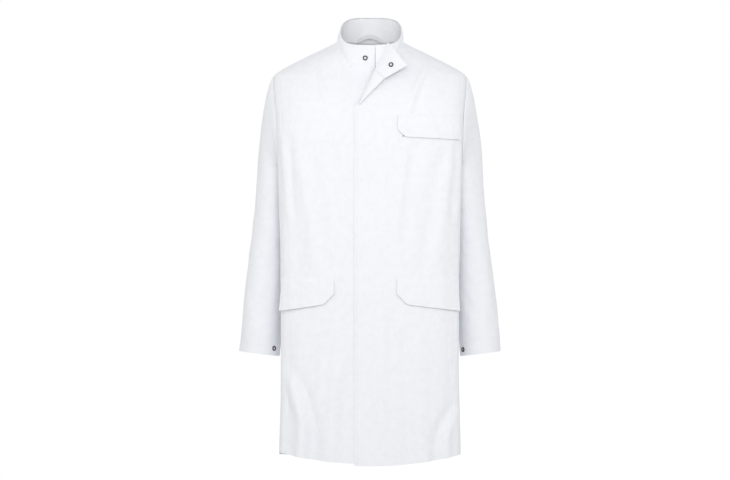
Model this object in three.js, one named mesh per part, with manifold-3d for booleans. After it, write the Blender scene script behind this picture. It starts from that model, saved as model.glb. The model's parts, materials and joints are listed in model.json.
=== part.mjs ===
// Laboratory coat with a stand collar, a concealed snap fly and three flapped pockets.
// Millimetres, +Z up. The wearer faces -Y, so the wearer's left is +X.
// Heights are first taken from the lowest point of the hem, and the whole coat is then
// moved so that the origin lies at the middle of the hanger loop, where the coat hangs.
import * as THREE from 'three';
import { mergeVertices } from 'three/addons/utils/BufferGeometryUtils.js';
import Module from 'manifold-3d';

const wasm = await Module();
wasm.setup();

// ---------- overall sizes ----------
const hemHalfWidth = 216;
const hipHalfWidth = 214;
const chestHalfWidth = 222;
const shoulderHalfWidth = 230;
const neckHalfWidth = 80;
const chestDepthFront = 134;
const backDepth = 95;
const shoulderTipHeight = 936;
const neckSideHeight = 1018;
const neckFrontHeight = 940;
const neckBackHeight = 1013;
const hemSideRise = 26;
const hemTurnUp = 22;
const hemCloth = 0.9;
const armholeBottom = 722;
const frontTurn = -60;

// ---------- cloth ----------
const cloth = 1.8;
const layerStep = 6.4;
const layerFull = 48;
const layerNone = 108;

// ---------- collar ----------
const collarTopFront = 1006;
const collarTopBack = 1072;
const collarTopHalfWidth = 73;
const collarTopHalfDepth = 69;
const collarTopCentreY = -9;
const collarLayerGap = 1.2;
const collarLift = 2.4;

// ---------- front closure ----------
const overlapEdge = -38;
const underlapEdge = 12;
const snapLine = -12;
const flyStitch = 38;
const snapPitch = 140;
const firstSnapHeight = 700;
const snapCount = 4;
const topSnapHeight = 838;
const swingHeight = 775;

// ---------- lapel, the left collar end and front corner turned back ----------
const lapelTop = new THREE.Vector3(43, -69.2, 1013);
const lapelFoot = new THREE.Vector3(-27, -128.6, 862);
const lapelTip = new THREE.Vector3(88, -104, 958);
const lapelNotchX = 34;
const lapelNotchZ = 926;
const lapelSeamShare = 0.444;
const lapelSnapX = 50;
const lapelSnapZ = 959;

// ---------- pockets ----------
const chestFlap = { inner: 66, outer: 214, top: 840, side: 804, cut: 17, low: 786, end: 780 };
const leftHipFlap = { inner: 64, outer: 209, top: 449, side: 411, cut: 24, low: 386, end: 371 };
const rightHipFlap = { inner: 86, outer: 209, top: 449, side: 411, cut: 24, low: 386, end: 371 };
const flapGap = 1.1;
const slitDrop = 20;
const slitHeight = 8;
const slitMargin = 14;
const bagDepth = 11.6;
const bagWall = 1.2;
const bagInset = cloth + 1.2;

// ---------- sleeves ----------
const sleeveBend = 713;
const sleeveGap = 1.3;
const cuffHemHeight = 28;
const cuffLowInner = 260;
const cuffLowOuter = 272;
const sleeveStations = [
  { z: 713, outer: 272, across: 47, y: 38, along: 58 },
  { z: 635, outer: 278, across: 46, y: 36, along: 57 },
  { z: 530, outer: 289, across: 46, y: 30, along: 55 },
  { z: 420, outer: 303, across: 48, y: 22, along: 54 },
  { z: 335, outer: 311, across: 49, y: 16, along: 53 },
  { z: 260, outer: 317, across: 49.5, y: 12, along: 52 },
];

// ---------- fastenings and trim ----------
const snapRadius = 6;
const studRadius = 4.5;
const snapHeight = 2.0;
const loopWidth = 60;
const loopTape = 8;
const loopThickness = 1.2;
const loopRise = 12;
const loopStandOff = 9;
const loopBase = 1014;
const labelWidth = 66;
const labelHeight = 26;
const labelInset = 0.7;
const labelStart = -38;

// ---------- the body of the coat as a stack of sections ----------
// z height, w half width, f front, b back, m place of the widest line, nf and nb roundness.
const bodyStations = [
  { z: -20, w: hemHalfWidth, f: -122, b: 98, m: frontTurn, nf: 2.3, nb: 1.95 },
  { z: 270, w: hipHalfWidth, f: -126, b: 97, m: frontTurn, nf: 2.35, nb: 1.85 },
  { z: 420, w: hipHalfWidth, f: -129, b: 96, m: frontTurn, nf: 2.4, nb: 1.75 },
  { z: 635, w: chestHalfWidth - 4, f: -132, b: backDepth, m: frontTurn, nf: 2.4, nb: 1.5 },
  { z: swingHeight, w: chestHalfWidth, f: -chestDepthFront, b: backDepth, m: frontTurn, nf: 2.4, nb: 1.5 },
  { z: 840, w: chestHalfWidth + 2, f: -129, b: 94, m: -54, nf: 2.4, nb: 1.6 },
  { z: 880, w: shoulderHalfWidth - 2, f: -119, b: 92, m: -38, nf: 2.35, nb: 1.8 },
  { z: 919, w: shoulderHalfWidth + 1, f: -101, b: 88, m: -18, nf: 2.3, nb: 1.95 },
  { z: shoulderTipHeight, w: shoulderHalfWidth, f: -90, b: 84, m: -8, nf: 2.3, nb: 2 },
  { z: 950, w: 212, f: -82, b: 81, m: -2, nf: 2.3, nb: 2 },
  { z: 965, w: 185, f: -74, b: 77, m: 2, nf: 2.3, nb: 2 },
  { z: 979, w: 158, f: -66, b: 73, m: 4, nf: 2.3, nb: 2 },
  { z: 994, w: 128, f: -54, b: 68, m: 6, nf: 2.3, nb: 2 },
  { z: 1008, w: 98, f: -40, b: 63, m: 8, nf: 2.3, nb: 2 },
  { z: neckSideHeight, w: neckHalfWidth, f: -28, b: 59, m: 9, nf: 2.3, nb: 2 },
];
// The neck seam: angle around the section against height.
const neckStations = [
  { z: 0, h: neckFrontHeight },
  { z: 11.7, h: neckFrontHeight + 10 },
  { z: 15.6, h: neckFrontHeight + 22 },
  { z: 25.4, h: neckFrontHeight + 45 },
  { z: 46, h: neckSideHeight - 11 },
  { z: 64, h: neckSideHeight - 4 },
  { z: 90, h: neckSideHeight },
  { z: 135, h: neckSideHeight - 1 },
  { z: 180, h: neckBackHeight },
];
// The collar's own angle against the section angle of the neck seam below it.
const collarStations = [
  { z: 0, a: 0 },
  { z: 32.5, a: 11.7 },
  { z: 39.6, a: 15.6 },
  { z: 52, a: 25.4 },
  { z: 64, a: 46 },
  { z: 77, a: 64 },
  { z: 90, a: 90 },
  { z: 135, a: 135 },
  { z: 180, a: 180 },
];
// The back edge of the armhole: height against section angle.
const armholeStations = [
  { z: armholeBottom, a: 92 },
  { z: armholeBottom + 12, a: 112 },
  { z: armholeBottom + 35, a: 127 },
  { z: 800, a: 134 },
  { z: 860, a: 133 },
  { z: 905, a: 122 },
  { z: 926, a: 107 },
  { z: shoulderTipHeight, a: 92 },
];

const radians = THREE.MathUtils.degToRad;
const coat = new THREE.Group();

// A smooth curve through stations that never overshoots them.
function along(stations, z, key) {
  const last = stations.length - 1;
  if (z <= stations[0].z) return stations[0][key];
  if (z >= stations[last].z) return stations[last][key];
  let i = 0;
  while (z > stations[i + 1].z) i += 1;
  const slope = (k) => (stations[k + 1][key] - stations[k][key]) / (stations[k + 1].z - stations[k].z);
  const tangent = (k) => {
    if (k === 0) return slope(0);
    if (k === last) return slope(last - 1);
    const before = slope(k - 1);
    const after = slope(k);
    return before * after <= 0 ? 0 : (2 * before * after) / (before + after);
  };
  const width = stations[i + 1].z - stations[i].z;
  const t = (z - stations[i].z) / width;
  const start = (1 + 2 * t) * (1 - t) ** 2 * stations[i][key] + t * (1 - t) ** 2 * width * tangent(i);
  const end = t ** 2 * (3 - 2 * t) * stations[i + 1][key] - t ** 2 * (1 - t) * width * tangent(i + 1);
  return start + end;
}

// The coat's outer surface at a section angle in degrees, 0 in front and 90 at +X.
function body(angle, z) {
  const half = along(bodyStations, z, 'w');
  const middle = along(bodyStations, z, 'm');
  const inFront = Math.abs(angle) <= 90;
  const round = along(bodyStations, z, inFront ? 'nf' : 'nb');
  const depth = inFront ? middle - along(bodyStations, z, 'f') : along(bodyStations, z, 'b') - middle;
  const s = Math.sin(radians(angle));
  const reach = depth * Math.max(0, 1 - Math.abs(s) ** round) ** (1 / round);
  return new THREE.Vector3(half * s, middle + (inFront ? -reach : reach), z);
}

function bodyNormal(angle, z) {
  const across = body(angle + 0.6, z).sub(body(angle - 0.6, z));
  const up = body(angle, z + 2).sub(body(angle, z - 2));
  return across.cross(up).normalize();
}

function bodyInset(angle, z, inset) {
  return body(angle, z).addScaledVector(bodyNormal(angle, z), -inset);
}

function angleAtX(x, z) {
  return THREE.MathUtils.radToDeg(Math.asin(THREE.MathUtils.clamp(x / along(bodyStations, z, 'w'), -1, 1)));
}

function neckHeight(angle) {
  return along(neckStations, Math.abs(angle), 'h');
}

function hemHeight(angle) {
  return hemSideRise * Math.sin(radians(angle)) ** 2;
}

// ---------- closed solids from surfaces ----------
function closedGeometry(points, faces) {
  const geometry = new THREE.BufferGeometry();
  geometry.setAttribute('position', new THREE.Float32BufferAttribute(points.flatMap((p) => [p.x, p.y, p.z]), 3));
  let volume = 0;
  for (const [a, b, c] of faces) {
    volume += points[a].dot(points[b].clone().cross(points[c]));
  }
  const ordered = volume > 0 ? faces : faces.map(([a, b, c]) => [a, c, b]);
  geometry.setIndex(ordered.flat());
  return geometry;
}

// A sheet of cloth of the given thickness behind the surface pointAt(u, v).
function sheet(pointAt, columns, rows, thickness, wrap = false) {
  const outer = [];
  const inner = [];
  const across = wrap ? columns : columns + 1;
  for (let j = 0; j <= rows; j += 1) {
    for (let i = 0; i < across; i += 1) {
      const u = i / columns;
      const v = j / rows;
      const step = 0.01;
      const before = wrap ? u - step : Math.max(0, u - step);
      const after = wrap ? u + step : Math.min(1, u + step);
      const alongU = pointAt(after, v).sub(pointAt(before, v));
      const alongV = pointAt(u, Math.min(1, v + step)).sub(pointAt(u, Math.max(0, v - step)));
      const normal = alongU.cross(alongV).normalize();
      outer.push(pointAt(u, v));
      inner.push(pointAt(u, v).addScaledVector(normal, -thickness));
    }
  }
  const count = outer.length;
  const at = (i, j) => j * across + (i % across);
  const faces = [];
  const quad = (a, b, c, d) => faces.push([a, b, c], [a, c, d]);
  for (let j = 0; j < rows; j += 1) {
    for (let i = 0; i < columns; i += 1) {
      quad(at(i, j), at(i + 1, j), at(i + 1, j + 1), at(i, j + 1));
      quad(count + at(i, j), count + at(i, j + 1), count + at(i + 1, j + 1), count + at(i + 1, j));
    }
  }
  for (let i = 0; i < columns; i += 1) {
    quad(at(i, 0), count + at(i, 0), count + at(i + 1, 0), at(i + 1, 0));
    quad(at(i, rows), at(i + 1, rows), count + at(i + 1, rows), count + at(i, rows));
  }
  for (let j = 0; j < rows && !wrap; j += 1) {
    quad(at(0, j), at(0, j + 1), count + at(0, j + 1), count + at(0, j));
    quad(at(columns, j), count + at(columns, j), count + at(columns, j + 1), at(columns, j + 1));
  }
  return closedGeometry(outer.concat(inner), faces);
}

// A flat plate with the given corners, thickened along its normal.
function plate(corners, thickness) {
  const normal = corners[1].clone().sub(corners[0]).cross(corners[2].clone().sub(corners[0])).normalize();
  const count = corners.length;
  const back = corners.map((p) => p.clone().addScaledVector(normal, -thickness));
  const faces = [];
  for (let i = 1; i < count - 1; i += 1) {
    faces.push([0, i, i + 1]);
    faces.push([count, count + i + 1, count + i]);
  }
  for (let i = 0; i < count; i += 1) {
    const next = (i + 1) % count;
    faces.push([i, count + i, count + next], [i, count + next, next]);
  }
  return closedGeometry(corners.concat(back), faces);
}

function solidOf(geometry) {
  const bare = geometry.clone();
  bare.deleteAttribute('normal');
  bare.deleteAttribute('uv');
  const merged = mergeVertices(bare, 1e-4);
  return new wasm.Manifold(new wasm.Mesh({
    numProp: 3,
    vertProperties: new Float32Array(merged.attributes.position.array),
    triVerts: new Uint32Array(merged.index.array),
  }));
}

function geometryOf(solid) {
  const mesh = solid.getMesh();
  const geometry = new THREE.BufferGeometry();
  geometry.setAttribute('position', new THREE.BufferAttribute(new Float32Array(mesh.vertProperties), 3));
  geometry.setIndex(new THREE.BufferAttribute(new Uint32Array(mesh.triVerts), 1));
  return geometry;
}

function boxAt(low, high) {
  const size = high.clone().sub(low);
  const geometry = new THREE.BoxGeometry(size.x, size.y, size.z);
  return geometry.translate(...low.clone().add(high).multiplyScalar(0.5).toArray());
}

const finishes = {
  cloth: { color: 0xf4f6fb, roughness: 0.9, metalness: 0 },
  lining: { color: 0xe6e8ee, roughness: 0.92, metalness: 0 },
  tape: { color: 0xeceef2, roughness: 0.85, metalness: 0 },
  label: { color: 0x8d9199, roughness: 0.8, metalness: 0 },
  snap: { color: 0x5b5d61, roughness: 0.35, metalness: 0.9 },
};

function add(name, geometry, finish) {
  const mesh = new THREE.Mesh(geometry, new THREE.MeshStandardMaterial(finishes[finish]));
  mesh.name = name;
  coat.add(mesh);
  return mesh;
}

// ---------- back ----------
// Side seam to centre back, cut away at the armhole and ended at the neck seam.
function backPoint(side, u, v) {
  const low = hemHeight(180);
  const rows = [
    0, 0.14, 0.28, 0.42, 0.54, 0.64, 0.705, 0.72, 0.742, 0.78, 0.82, 0.86, 0.895, 0.917, 0.928, 0.944, 0.96, 0.975,
    0.988, 1,
  ];
  const place = v * (rows.length - 1);
  const index = Math.min(rows.length - 2, Math.floor(place));
  const share = rows[index] + (rows[index + 1] - rows[index]) * (place - index);
  const top = neckSideHeight;
  const sideHeight = low + (top - low) * share;
  const inArmhole = sideHeight > armholeBottom && sideHeight < shoulderTipHeight;
  const edge = inArmhole ? along(armholeStations, sideHeight, 'a') : 90.3;
  const angle = edge + (179.9 - edge) * u;
  const bottom = hemHeight(angle) - low * Math.cos(radians(angle)) ** 2;
  const z = bottom + (neckHeight(angle) - bottom) * share;
  const point = body(angle, z);
  point.x *= side;
  return point;
}

function backPanel(side) {
  return sheet((u, v) => (side > 0 ? backPoint(1, u, v) : backPoint(-1, 1 - u, v)), 9, 19, cloth);
}

add('left_back_panel', backPanel(1), 'cloth');
add('right_back_panel', backPanel(-1), 'cloth');

// ---------- fronts ----------
// The left front lies over the right front by one layer step.
function underShare(x) {
  return 1 - THREE.MathUtils.smoothstep(x, layerFull, layerNone);
}

function frontPoint(side, edgeX, inset, lowZ, highZ, u, v) {
  const spread = u ** 0.92;
  const edgeHeight = Math.min(highZ, neckFrontHeight);
  const edgeZ = lowZ + (edgeHeight - lowZ) * v;
  const startAngle = angleAtX(edgeX * side, Math.min(edgeZ, 930));
  const angle = startAngle + (89.8 - startAngle) * spread;
  const bottom = lowZ < swingHeight ? hemHeight(angle) + lowZ : lowZ;
  const top = Math.min(highZ, neckHeight(angle) - 0.01);
  const z = bottom + (top - bottom) * v;
  const point = bodyInset(angle, z, inset * underShare(body(angle, z).x));
  point.x *= side;
  return point;
}

function frontSheet(side, edgeX, inset, lowZ, highZ, rows) {
  const place = (u, v) => (side > 0 ? frontPoint(1, edgeX, inset, lowZ, highZ, u, v)
    : frontPoint(-1, edgeX, inset, lowZ, highZ, 1 - u, v));
  return sheet(place, 12, rows, cloth);
}

// A slit behind each flap lets the hand into the pocket bag.
function slitOf(side, flap) {
  const low = new THREE.Vector3(flap.inner + slitMargin, -160, flap.top - slitDrop - slitHeight);
  const high = new THREE.Vector3(flap.outer - slitMargin, -62, flap.top - slitDrop);
  const box = boxAt(low, high);
  return side > 0 ? box : box.translate(-(low.x + high.x), 0, 0);
}

// The turned lapel leaves the left front cut back along the fold line above its foot.
function foldCut() {
  const beyond = 60;
  const slack = 4;
  const above = neckFrontHeight + 40;
  const reach = 120;
  const foot = new THREE.Vector3(lapelFoot.x + slack, 0, lapelFoot.z - slack);
  const rise = (above - lapelFoot.z) / (lapelTop.z - lapelFoot.z);
  const topX = THREE.MathUtils.lerp(lapelFoot.x, lapelTop.x, rise) + slack;
  const shape = new THREE.Shape([
    new THREE.Vector2(foot.x - beyond, foot.z),
    new THREE.Vector2(foot.x, foot.z),
    new THREE.Vector2(topX, above),
    new THREE.Vector2(foot.x - beyond, above),
  ]);
  const cut = new THREE.ExtrudeGeometry(shape, { depth: reach, bevelEnabled: false });
  return cut.rotateX(Math.PI / 2).translate(0, reach - 160, 0);
}

const splitGap = 0.8;
const leftChest = solidOf(frontSheet(1, overlapEdge, 0, swingHeight + splitGap, 2000, 14));
const leftSkirt = solidOf(frontSheet(1, overlapEdge, 0, 0, swingHeight, 12));
const rightChest = solidOf(frontSheet(-1, -underlapEdge, layerStep, swingHeight + splitGap, 2000, 14));
const rightSkirt = solidOf(frontSheet(-1, -underlapEdge, layerStep, 5, swingHeight, 12));
const leftChestCut = leftChest.subtract(solidOf(foldCut())).subtract(solidOf(slitOf(1, chestFlap)));
add('left_front_chest', geometryOf(leftChestCut), 'cloth');
add('left_front_skirt', geometryOf(leftSkirt.subtract(solidOf(slitOf(1, leftHipFlap)))), 'cloth');
add('right_front_chest', geometryOf(rightChest), 'cloth');
add('right_front_skirt', geometryOf(rightSkirt.subtract(solidOf(slitOf(-1, rightHipFlap)))), 'cloth');

// A strip of cloth inside a front, from one x to another and one height to another.
function strip(fromX, toX, inset, lowZ, highZ, columns, rows, thickness) {
  const place = (u, v) => {
    const z = lowZ + (highZ - lowZ) * v;
    return bodyInset(angleAtX(fromX + (toX - fromX) * u, z), z, inset);
  };
  return sheet(place, columns, rows, thickness);
}

const bandInset = cloth + 0.6;
const bandThickness = 0.8;
const facingThickness = 1;
const facingInset = layerStep + cloth + 0.6;
const bandFoot = 30;
const bandTop = swingHeight - 2;
const facingEdge = -44;
const flyBand = strip(overlapEdge + 3, flyStitch - 4, bandInset, bandFoot, bandTop, 3, 10, bandThickness);
const facing = strip(facingEdge, underlapEdge - 3, facingInset, bandFoot + 4, bandTop, 3, 10, facingThickness);
add('fly_socket_band', flyBand, 'lining');
add('right_front_facing', facing, 'lining');

// ---------- flaps and pocket bags ----------
function flapPoint(side, flap, u, v) {
  const shareAcross = side > 0 ? u : 1 - u;
  const x = flap.inner + (flap.outer - flap.inner) * (1 - (1 - shareAcross) ** 1.6);
  const corner = flap.inner + flap.cut;
  const low = x < corner
    ? THREE.MathUtils.mapLinear(x, flap.inner, corner, flap.side, flap.low)
    : THREE.MathUtils.mapLinear(x, corner, flap.outer, flap.low, flap.end);
  const z = low + (flap.top - low) * v;
  const point = bodyInset(angleAtX(x, z), z, -(flapGap + cloth));
  point.x *= side;
  return point;
}

function bagSlab(side, flap, depth, wall, openTop) {
  const left = flap.inner + 8 + wall;
  const right = flap.outer - 12 - wall;
  const high = flap.top - slitDrop + (openTop ? 20 : 6);
  const low = flap.top - slitDrop - depth + wall;
  const place = (u, v) => {
    const x = left + (right - left) * (side > 0 ? u : 1 - u);
    const z = low + (high - low) * v;
    const under = side > 0 ? 0 : layerStep * underShare(x);
    const point = bodyInset(angleAtX(x, z), z, bagInset + wall + under);
    point.x *= side;
    return point;
  };
  return solidOf(sheet(place, 7, 4, bagDepth - 2 * wall));
}

const pockets = [
  { name: 'chest', side: 1, flap: chestFlap, depth: 130 },
  { name: 'left_hip', side: 1, flap: leftHipFlap, depth: 190 },
  { name: 'right_hip', side: -1, flap: rightHipFlap, depth: 190 },
];
for (const { name, side, flap, depth } of pockets) {
  add(`${name}_pocket_flap`, sheet((u, v) => flapPoint(side, flap, u, v), 11, 3, cloth), 'cloth');
  const hollow = bagSlab(side, flap, depth, bagWall, true);
  add(`${name}_pocket_bag`, geometryOf(bagSlab(side, flap, depth, 0, false).subtract(hollow)), 'lining');
}

// ---------- hems turned up inside ----------
function hemSheet(from, to, inset, columns, lift) {
  const place = (u, v) => {
    const angle = from + (to - from) * u;
    const z = hemHeight(angle) + lift + hemTurnUp * v;
    const under = angle < 0 ? layerStep * underShare(Math.abs(body(angle, z).x)) : 0;
    return bodyInset(angle, z, inset + under);
  };
  return sheet(place, columns, 1, hemCloth);
}

const hemInset = cloth + 0.6;
const besideFly = angleAtX(layerNone, 20);
add('left_front_hem', hemSheet(besideFly, 88, hemInset, 5, 2), 'cloth');
add('right_front_hem', hemSheet(-88, -besideFly, hemInset, 5, 7), 'cloth');
add('back_hem', hemSheet(94, 266, hemInset + 1.0, 18, 2), 'cloth');

// ---------- collar ----------
function collarPoint(angle, share, inset) {
  const size = Math.abs(angle);
  const below = along(collarStations, size, 'a') * Math.sign(angle || 1);
  const base = body(below, neckHeight(below));
  base.z += collarLift;
  const turn = radians(angle);
  const climb = THREE.MathUtils.smoothstep((1 - Math.cos(turn)) / 2, 0, 1);
  const top = new THREE.Vector3(
    collarTopHalfWidth * Math.sin(turn),
    collarTopCentreY - collarTopHalfDepth * Math.cos(turn),
    collarTopFront + (collarTopBack - collarTopFront) * climb,
  );
  const outward = new THREE.Vector3(Math.sin(turn), -Math.cos(turn), 0);
  return base.lerp(top, share).addScaledVector(outward, -inset);
}

function collarSheet(from, to, inset, columns, low, high, thickness) {
  const place = (u, v) => collarPoint(from + (to - from) * u, low + (high - low) * v, inset);
  return sheet(place, columns, 4, thickness);
}

const collarCloth = 1.3;
const rightCollarEnd = 7.8;
const leftCollarEnd = 10.6;
const liningInset = collarCloth + collarLayerGap;
const liningCloth = 0.9;
const liningLow = 0.06;
const liningHigh = 0.97;
const rightLining = collarSheet(
  -179, rightCollarEnd - 1, liningInset, 18, liningLow, liningHigh, liningCloth,
);
const leftLining = collarSheet(
  leftCollarEnd + 1, 179, liningInset, 16, liningLow, liningHigh, liningCloth,
);
add('collar_right', collarSheet(-179.7, rightCollarEnd, 0, 20, 0, 1, collarCloth), 'cloth');
add('collar_left', collarSheet(leftCollarEnd, 179.7, 0, 18, 0, 1, collarCloth), 'cloth');
add('collar_right_lining', rightLining, 'lining');
add('collar_left_lining', leftLining, 'lining');

// ---------- lapel ----------
const lapelSeam = lapelTop.clone().lerp(lapelFoot, lapelSeamShare);
const lapelPlane = new THREE.Plane().setFromCoplanarPoints(lapelTop, lapelFoot, lapelTip);
function onLapel(x, z) {
  const { normal, constant } = lapelPlane;
  return new THREE.Vector3(x, -(constant + normal.x * x + normal.z * z) / normal.y, z);
}
const lapelNotch = onLapel(lapelNotchX, lapelNotchZ);
const lapelNormal = lapelPlane.normal.clone().multiplyScalar(lapelPlane.normal.y < 0 ? 1 : -1);
function towards(from, to, distance) {
  return from.clone().addScaledVector(to.clone().sub(from).normalize(), distance);
}
const lapelCloth = 2.4;
const upperCorners = [
  lapelTop,
  towards(lapelSeam, lapelTop, 0.6),
  towards(lapelNotch, lapelTip, 0.6),
  lapelTip,
];
const lowerCorners = [
  towards(lapelSeam, lapelFoot, 0.4),
  lapelFoot,
  towards(lapelNotch, lapelFoot, 0.4),
];
add('lapel_collar_end', plate(upperCorners, lapelCloth), 'cloth');
add('lapel_front_corner', plate(lowerCorners, lapelCloth), 'cloth');

// ---------- snaps ----------
function snapGeometry(radius, height) {
  const profile = [
    [0, 0],
    [radius, 0],
    [radius, height * 0.6],
    [radius * 0.86, height],
    [radius * 0.62, height],
    [radius * 0.5, height * 0.55],
    [0, height * 0.55],
  ];
  const points = profile.map(([x, y]) => new THREE.Vector2(x, y));
  return solidOf(new THREE.LatheGeometry(points, 12).rotateX(Math.PI / 2));
}

function addSnap(name, point, normal, radius, height) {
  const mesh = add(name, geometryOf(snapGeometry(radius, height)), 'snap');
  mesh.position.copy(point);
  mesh.quaternion.setFromUnitVectors(new THREE.Vector3(0, 0, 1), normal.clone().normalize());
}

const socketInset = bandInset + bandThickness + 1.5;
const studInset = layerStep - 0.3;
const flySnapHeights = [topSnapHeight];
for (let i = 0; i < snapCount; i += 1) {
  flySnapHeights.push(firstSnapHeight - i * snapPitch);
}
flySnapHeights.forEach((z, i) => {
  const angle = angleAtX(snapLine, z);
  const normal = bodyNormal(angle, z);
  addSnap(`fly_socket_${i + 1}`, bodyInset(angle, z, socketInset), normal, 5.5, 1.1);
  addSnap(`fly_stud_${i + 1}`, bodyInset(angle, z, studInset), normal, studRadius, 1.0);
});

const collarSnapAngle = -8.6;
const collarSnapShare = 0.55;
const collarSpot = collarPoint(collarSnapAngle, collarSnapShare, -0.7);
const collarAlong = collarPoint(collarSnapAngle + 2, collarSnapShare, 0)
  .sub(collarPoint(collarSnapAngle - 2, collarSnapShare, 0));
const collarUp = collarPoint(collarSnapAngle, 0.7, 0).sub(collarPoint(collarSnapAngle, 0.4, 0));
addSnap('collar_stud', collarSpot, collarAlong.cross(collarUp), snapRadius, snapHeight);
const lapelSpot = onLapel(lapelSnapX, lapelSnapZ).addScaledVector(lapelNormal, 0.4);
addSnap('lapel_socket', lapelSpot, lapelNormal, snapRadius, snapHeight);

// ---------- sleeves ----------
function sleeveRing(turn, z, inset) {
  const outer = along([...sleeveStations].reverse(), z, 'outer');
  const across = along([...sleeveStations].reverse(), z, 'across');
  const middle = along([...sleeveStations].reverse(), z, 'y');
  const depth = along([...sleeveStations].reverse(), z, 'along');
  return new THREE.Vector3(
    outer - across + (across - inset) * Math.cos(turn),
    middle - (depth - inset) * Math.sin(turn),
    z,
  );
}

function armholeLoop(turn) {
  const low = (1 - Math.cos(turn)) / 2;
  const z = shoulderTipHeight - (shoulderTipHeight - armholeBottom) * low;
  const angle = turn <= Math.PI ? 90 : along(armholeStations, z, 'a');
  const point = body(angle, z);
  point.addScaledVector(bodyNormal(angle, z), 0.6);
  point.x += sleeveGap + 0.8;
  return point;
}

function sleeveCapPoint(side, u, v) {
  const turn = 2 * Math.PI * (side > 0 ? 1 - (u - Math.floor(u)) : u - Math.floor(u));
  const upper = (1 + Math.cos(turn)) / 2;
  const start = armholeLoop(turn);
  const ringTurn = turn - 0.8 * Math.sin(turn / 2) ** 2;
  const end = sleeveRing(ringTurn, sleeveBend + 0.7, 0);
  const t = 1 - v;
  const pull = 14 + 58 * upper;
  const push = 8 + 122 * upper;
  const point = start.clone().multiplyScalar((1 + 2 * t) * (1 - t) ** 2);
  point.addScaledVector(end, t ** 2 * (3 - 2 * t));
  point.addScaledVector(new THREE.Vector3(0.86, 0, -0.5), t * (1 - t) ** 2 * pull);
  point.addScaledVector(new THREE.Vector3(0, 0, -1), -(t ** 2) * (1 - t) * push);
  point.x *= side;
  return point;
}

function sleevePoint(side, u, v, inset, lowShift, highZ) {
  const turn = 2 * Math.PI * (side > 0 ? 1 - u : u);
  const cuff = THREE.MathUtils.lerp(cuffLowInner, cuffLowOuter, (1 + Math.cos(turn)) / 2) + lowShift;
  const z = cuff + (highZ - cuff) * v;
  const point = sleeveRing(turn, z, inset);
  point.x *= side;
  return point;
}

const cuffSnapTurn = { left: 2.8, right: 2.37 };
const cuffSnapHeight = { left: 276, right: 279 };
for (const [name, side] of [['left', 1], ['right', -1]]) {
  add(`${name}_sleeve_cap`, sheet((u, v) => sleeveCapPoint(side, u, v), 20, 6, cloth, true), 'cloth');
  add(`${name}_sleeve`, sheet((u, v) => sleevePoint(side, u, v, 0, 0, sleeveBend), 20, 7, cloth, true), 'cloth');
  const hem = (u, v) => {
    const turn = 2 * Math.PI * (side > 0 ? 1 - u : u);
    const edge = THREE.MathUtils.lerp(cuffLowInner, cuffLowOuter, (1 + Math.cos(turn)) / 2);
    const point = sleeveRing(turn, edge + 1.5 + cuffHemHeight * v, cloth + 0.6);
    point.x *= side;
    return point;
  };
  add(`${name}_cuff_hem`, sheet(hem, 20, 1, 1, true), 'cloth');
  const turn = cuffSnapTurn[name];
  const z = cuffSnapHeight[name];
  const spot = sleeveRing(turn, z, -0.5);
  const inside = sleeveRing(turn, z, cloth + 2.75);
  const normal = new THREE.Vector3(Math.cos(turn) / 49, -Math.sin(turn) / 52, 0).normalize();
  for (const item of [spot, inside, normal]) item.x *= side;
  addSnap(`${name}_cuff_socket`, spot, normal, snapRadius, snapHeight);
  addSnap(`${name}_cuff_stud`, inside, normal.clone().negate(), studRadius, 1.4);
}

// ---------- hanger loop and neck label ----------
function loopPoint(u, v) {
  const swell = Math.sin(Math.PI * u);
  const x = (u - 0.5) * loopWidth;
  const aside = THREE.MathUtils.radToDeg(Math.asin(Math.abs(x) / neckHalfWidth));
  const seat = collarPoint(180 - aside, 0.2, liningInset + liningCloth).y;
  return new THREE.Vector3(
    x,
    seat - 1.6 - loopStandOff * swell,
    loopBase + 3 + loopRise * swell + loopTape * v,
  );
}
add('hanger_loop', sheet(loopPoint, 12, 1, loopThickness), 'tape');

function labelPoint(u, v) {
  const x = labelStart + labelWidth * u;
  const z = neckBackHeight - 6 - labelHeight * (1 - v);
  const angle = 180 - angleAtX(x, z);
  return bodyInset(angle, z, cloth + labelInset);
}
add('neck_label', sheet((u, v) => labelPoint(1 - u, v), 4, 1, 0.5), 'label');

// ---------- the origin ----------
export const hangPoint = loopPoint(0.5, 0.5);
coat.position.copy(hangPoint).negate();

export default coat;
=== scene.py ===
# %% [markdown]
# This file dresses a packed laboratory coat. The imported solids say where every
# piece is and how it moves; here each piece of cloth gets its real drape, weave
# and stitching. The frame comes in first, and the box it fills is kept.

# %% Load the frame
import json
import math

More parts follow.
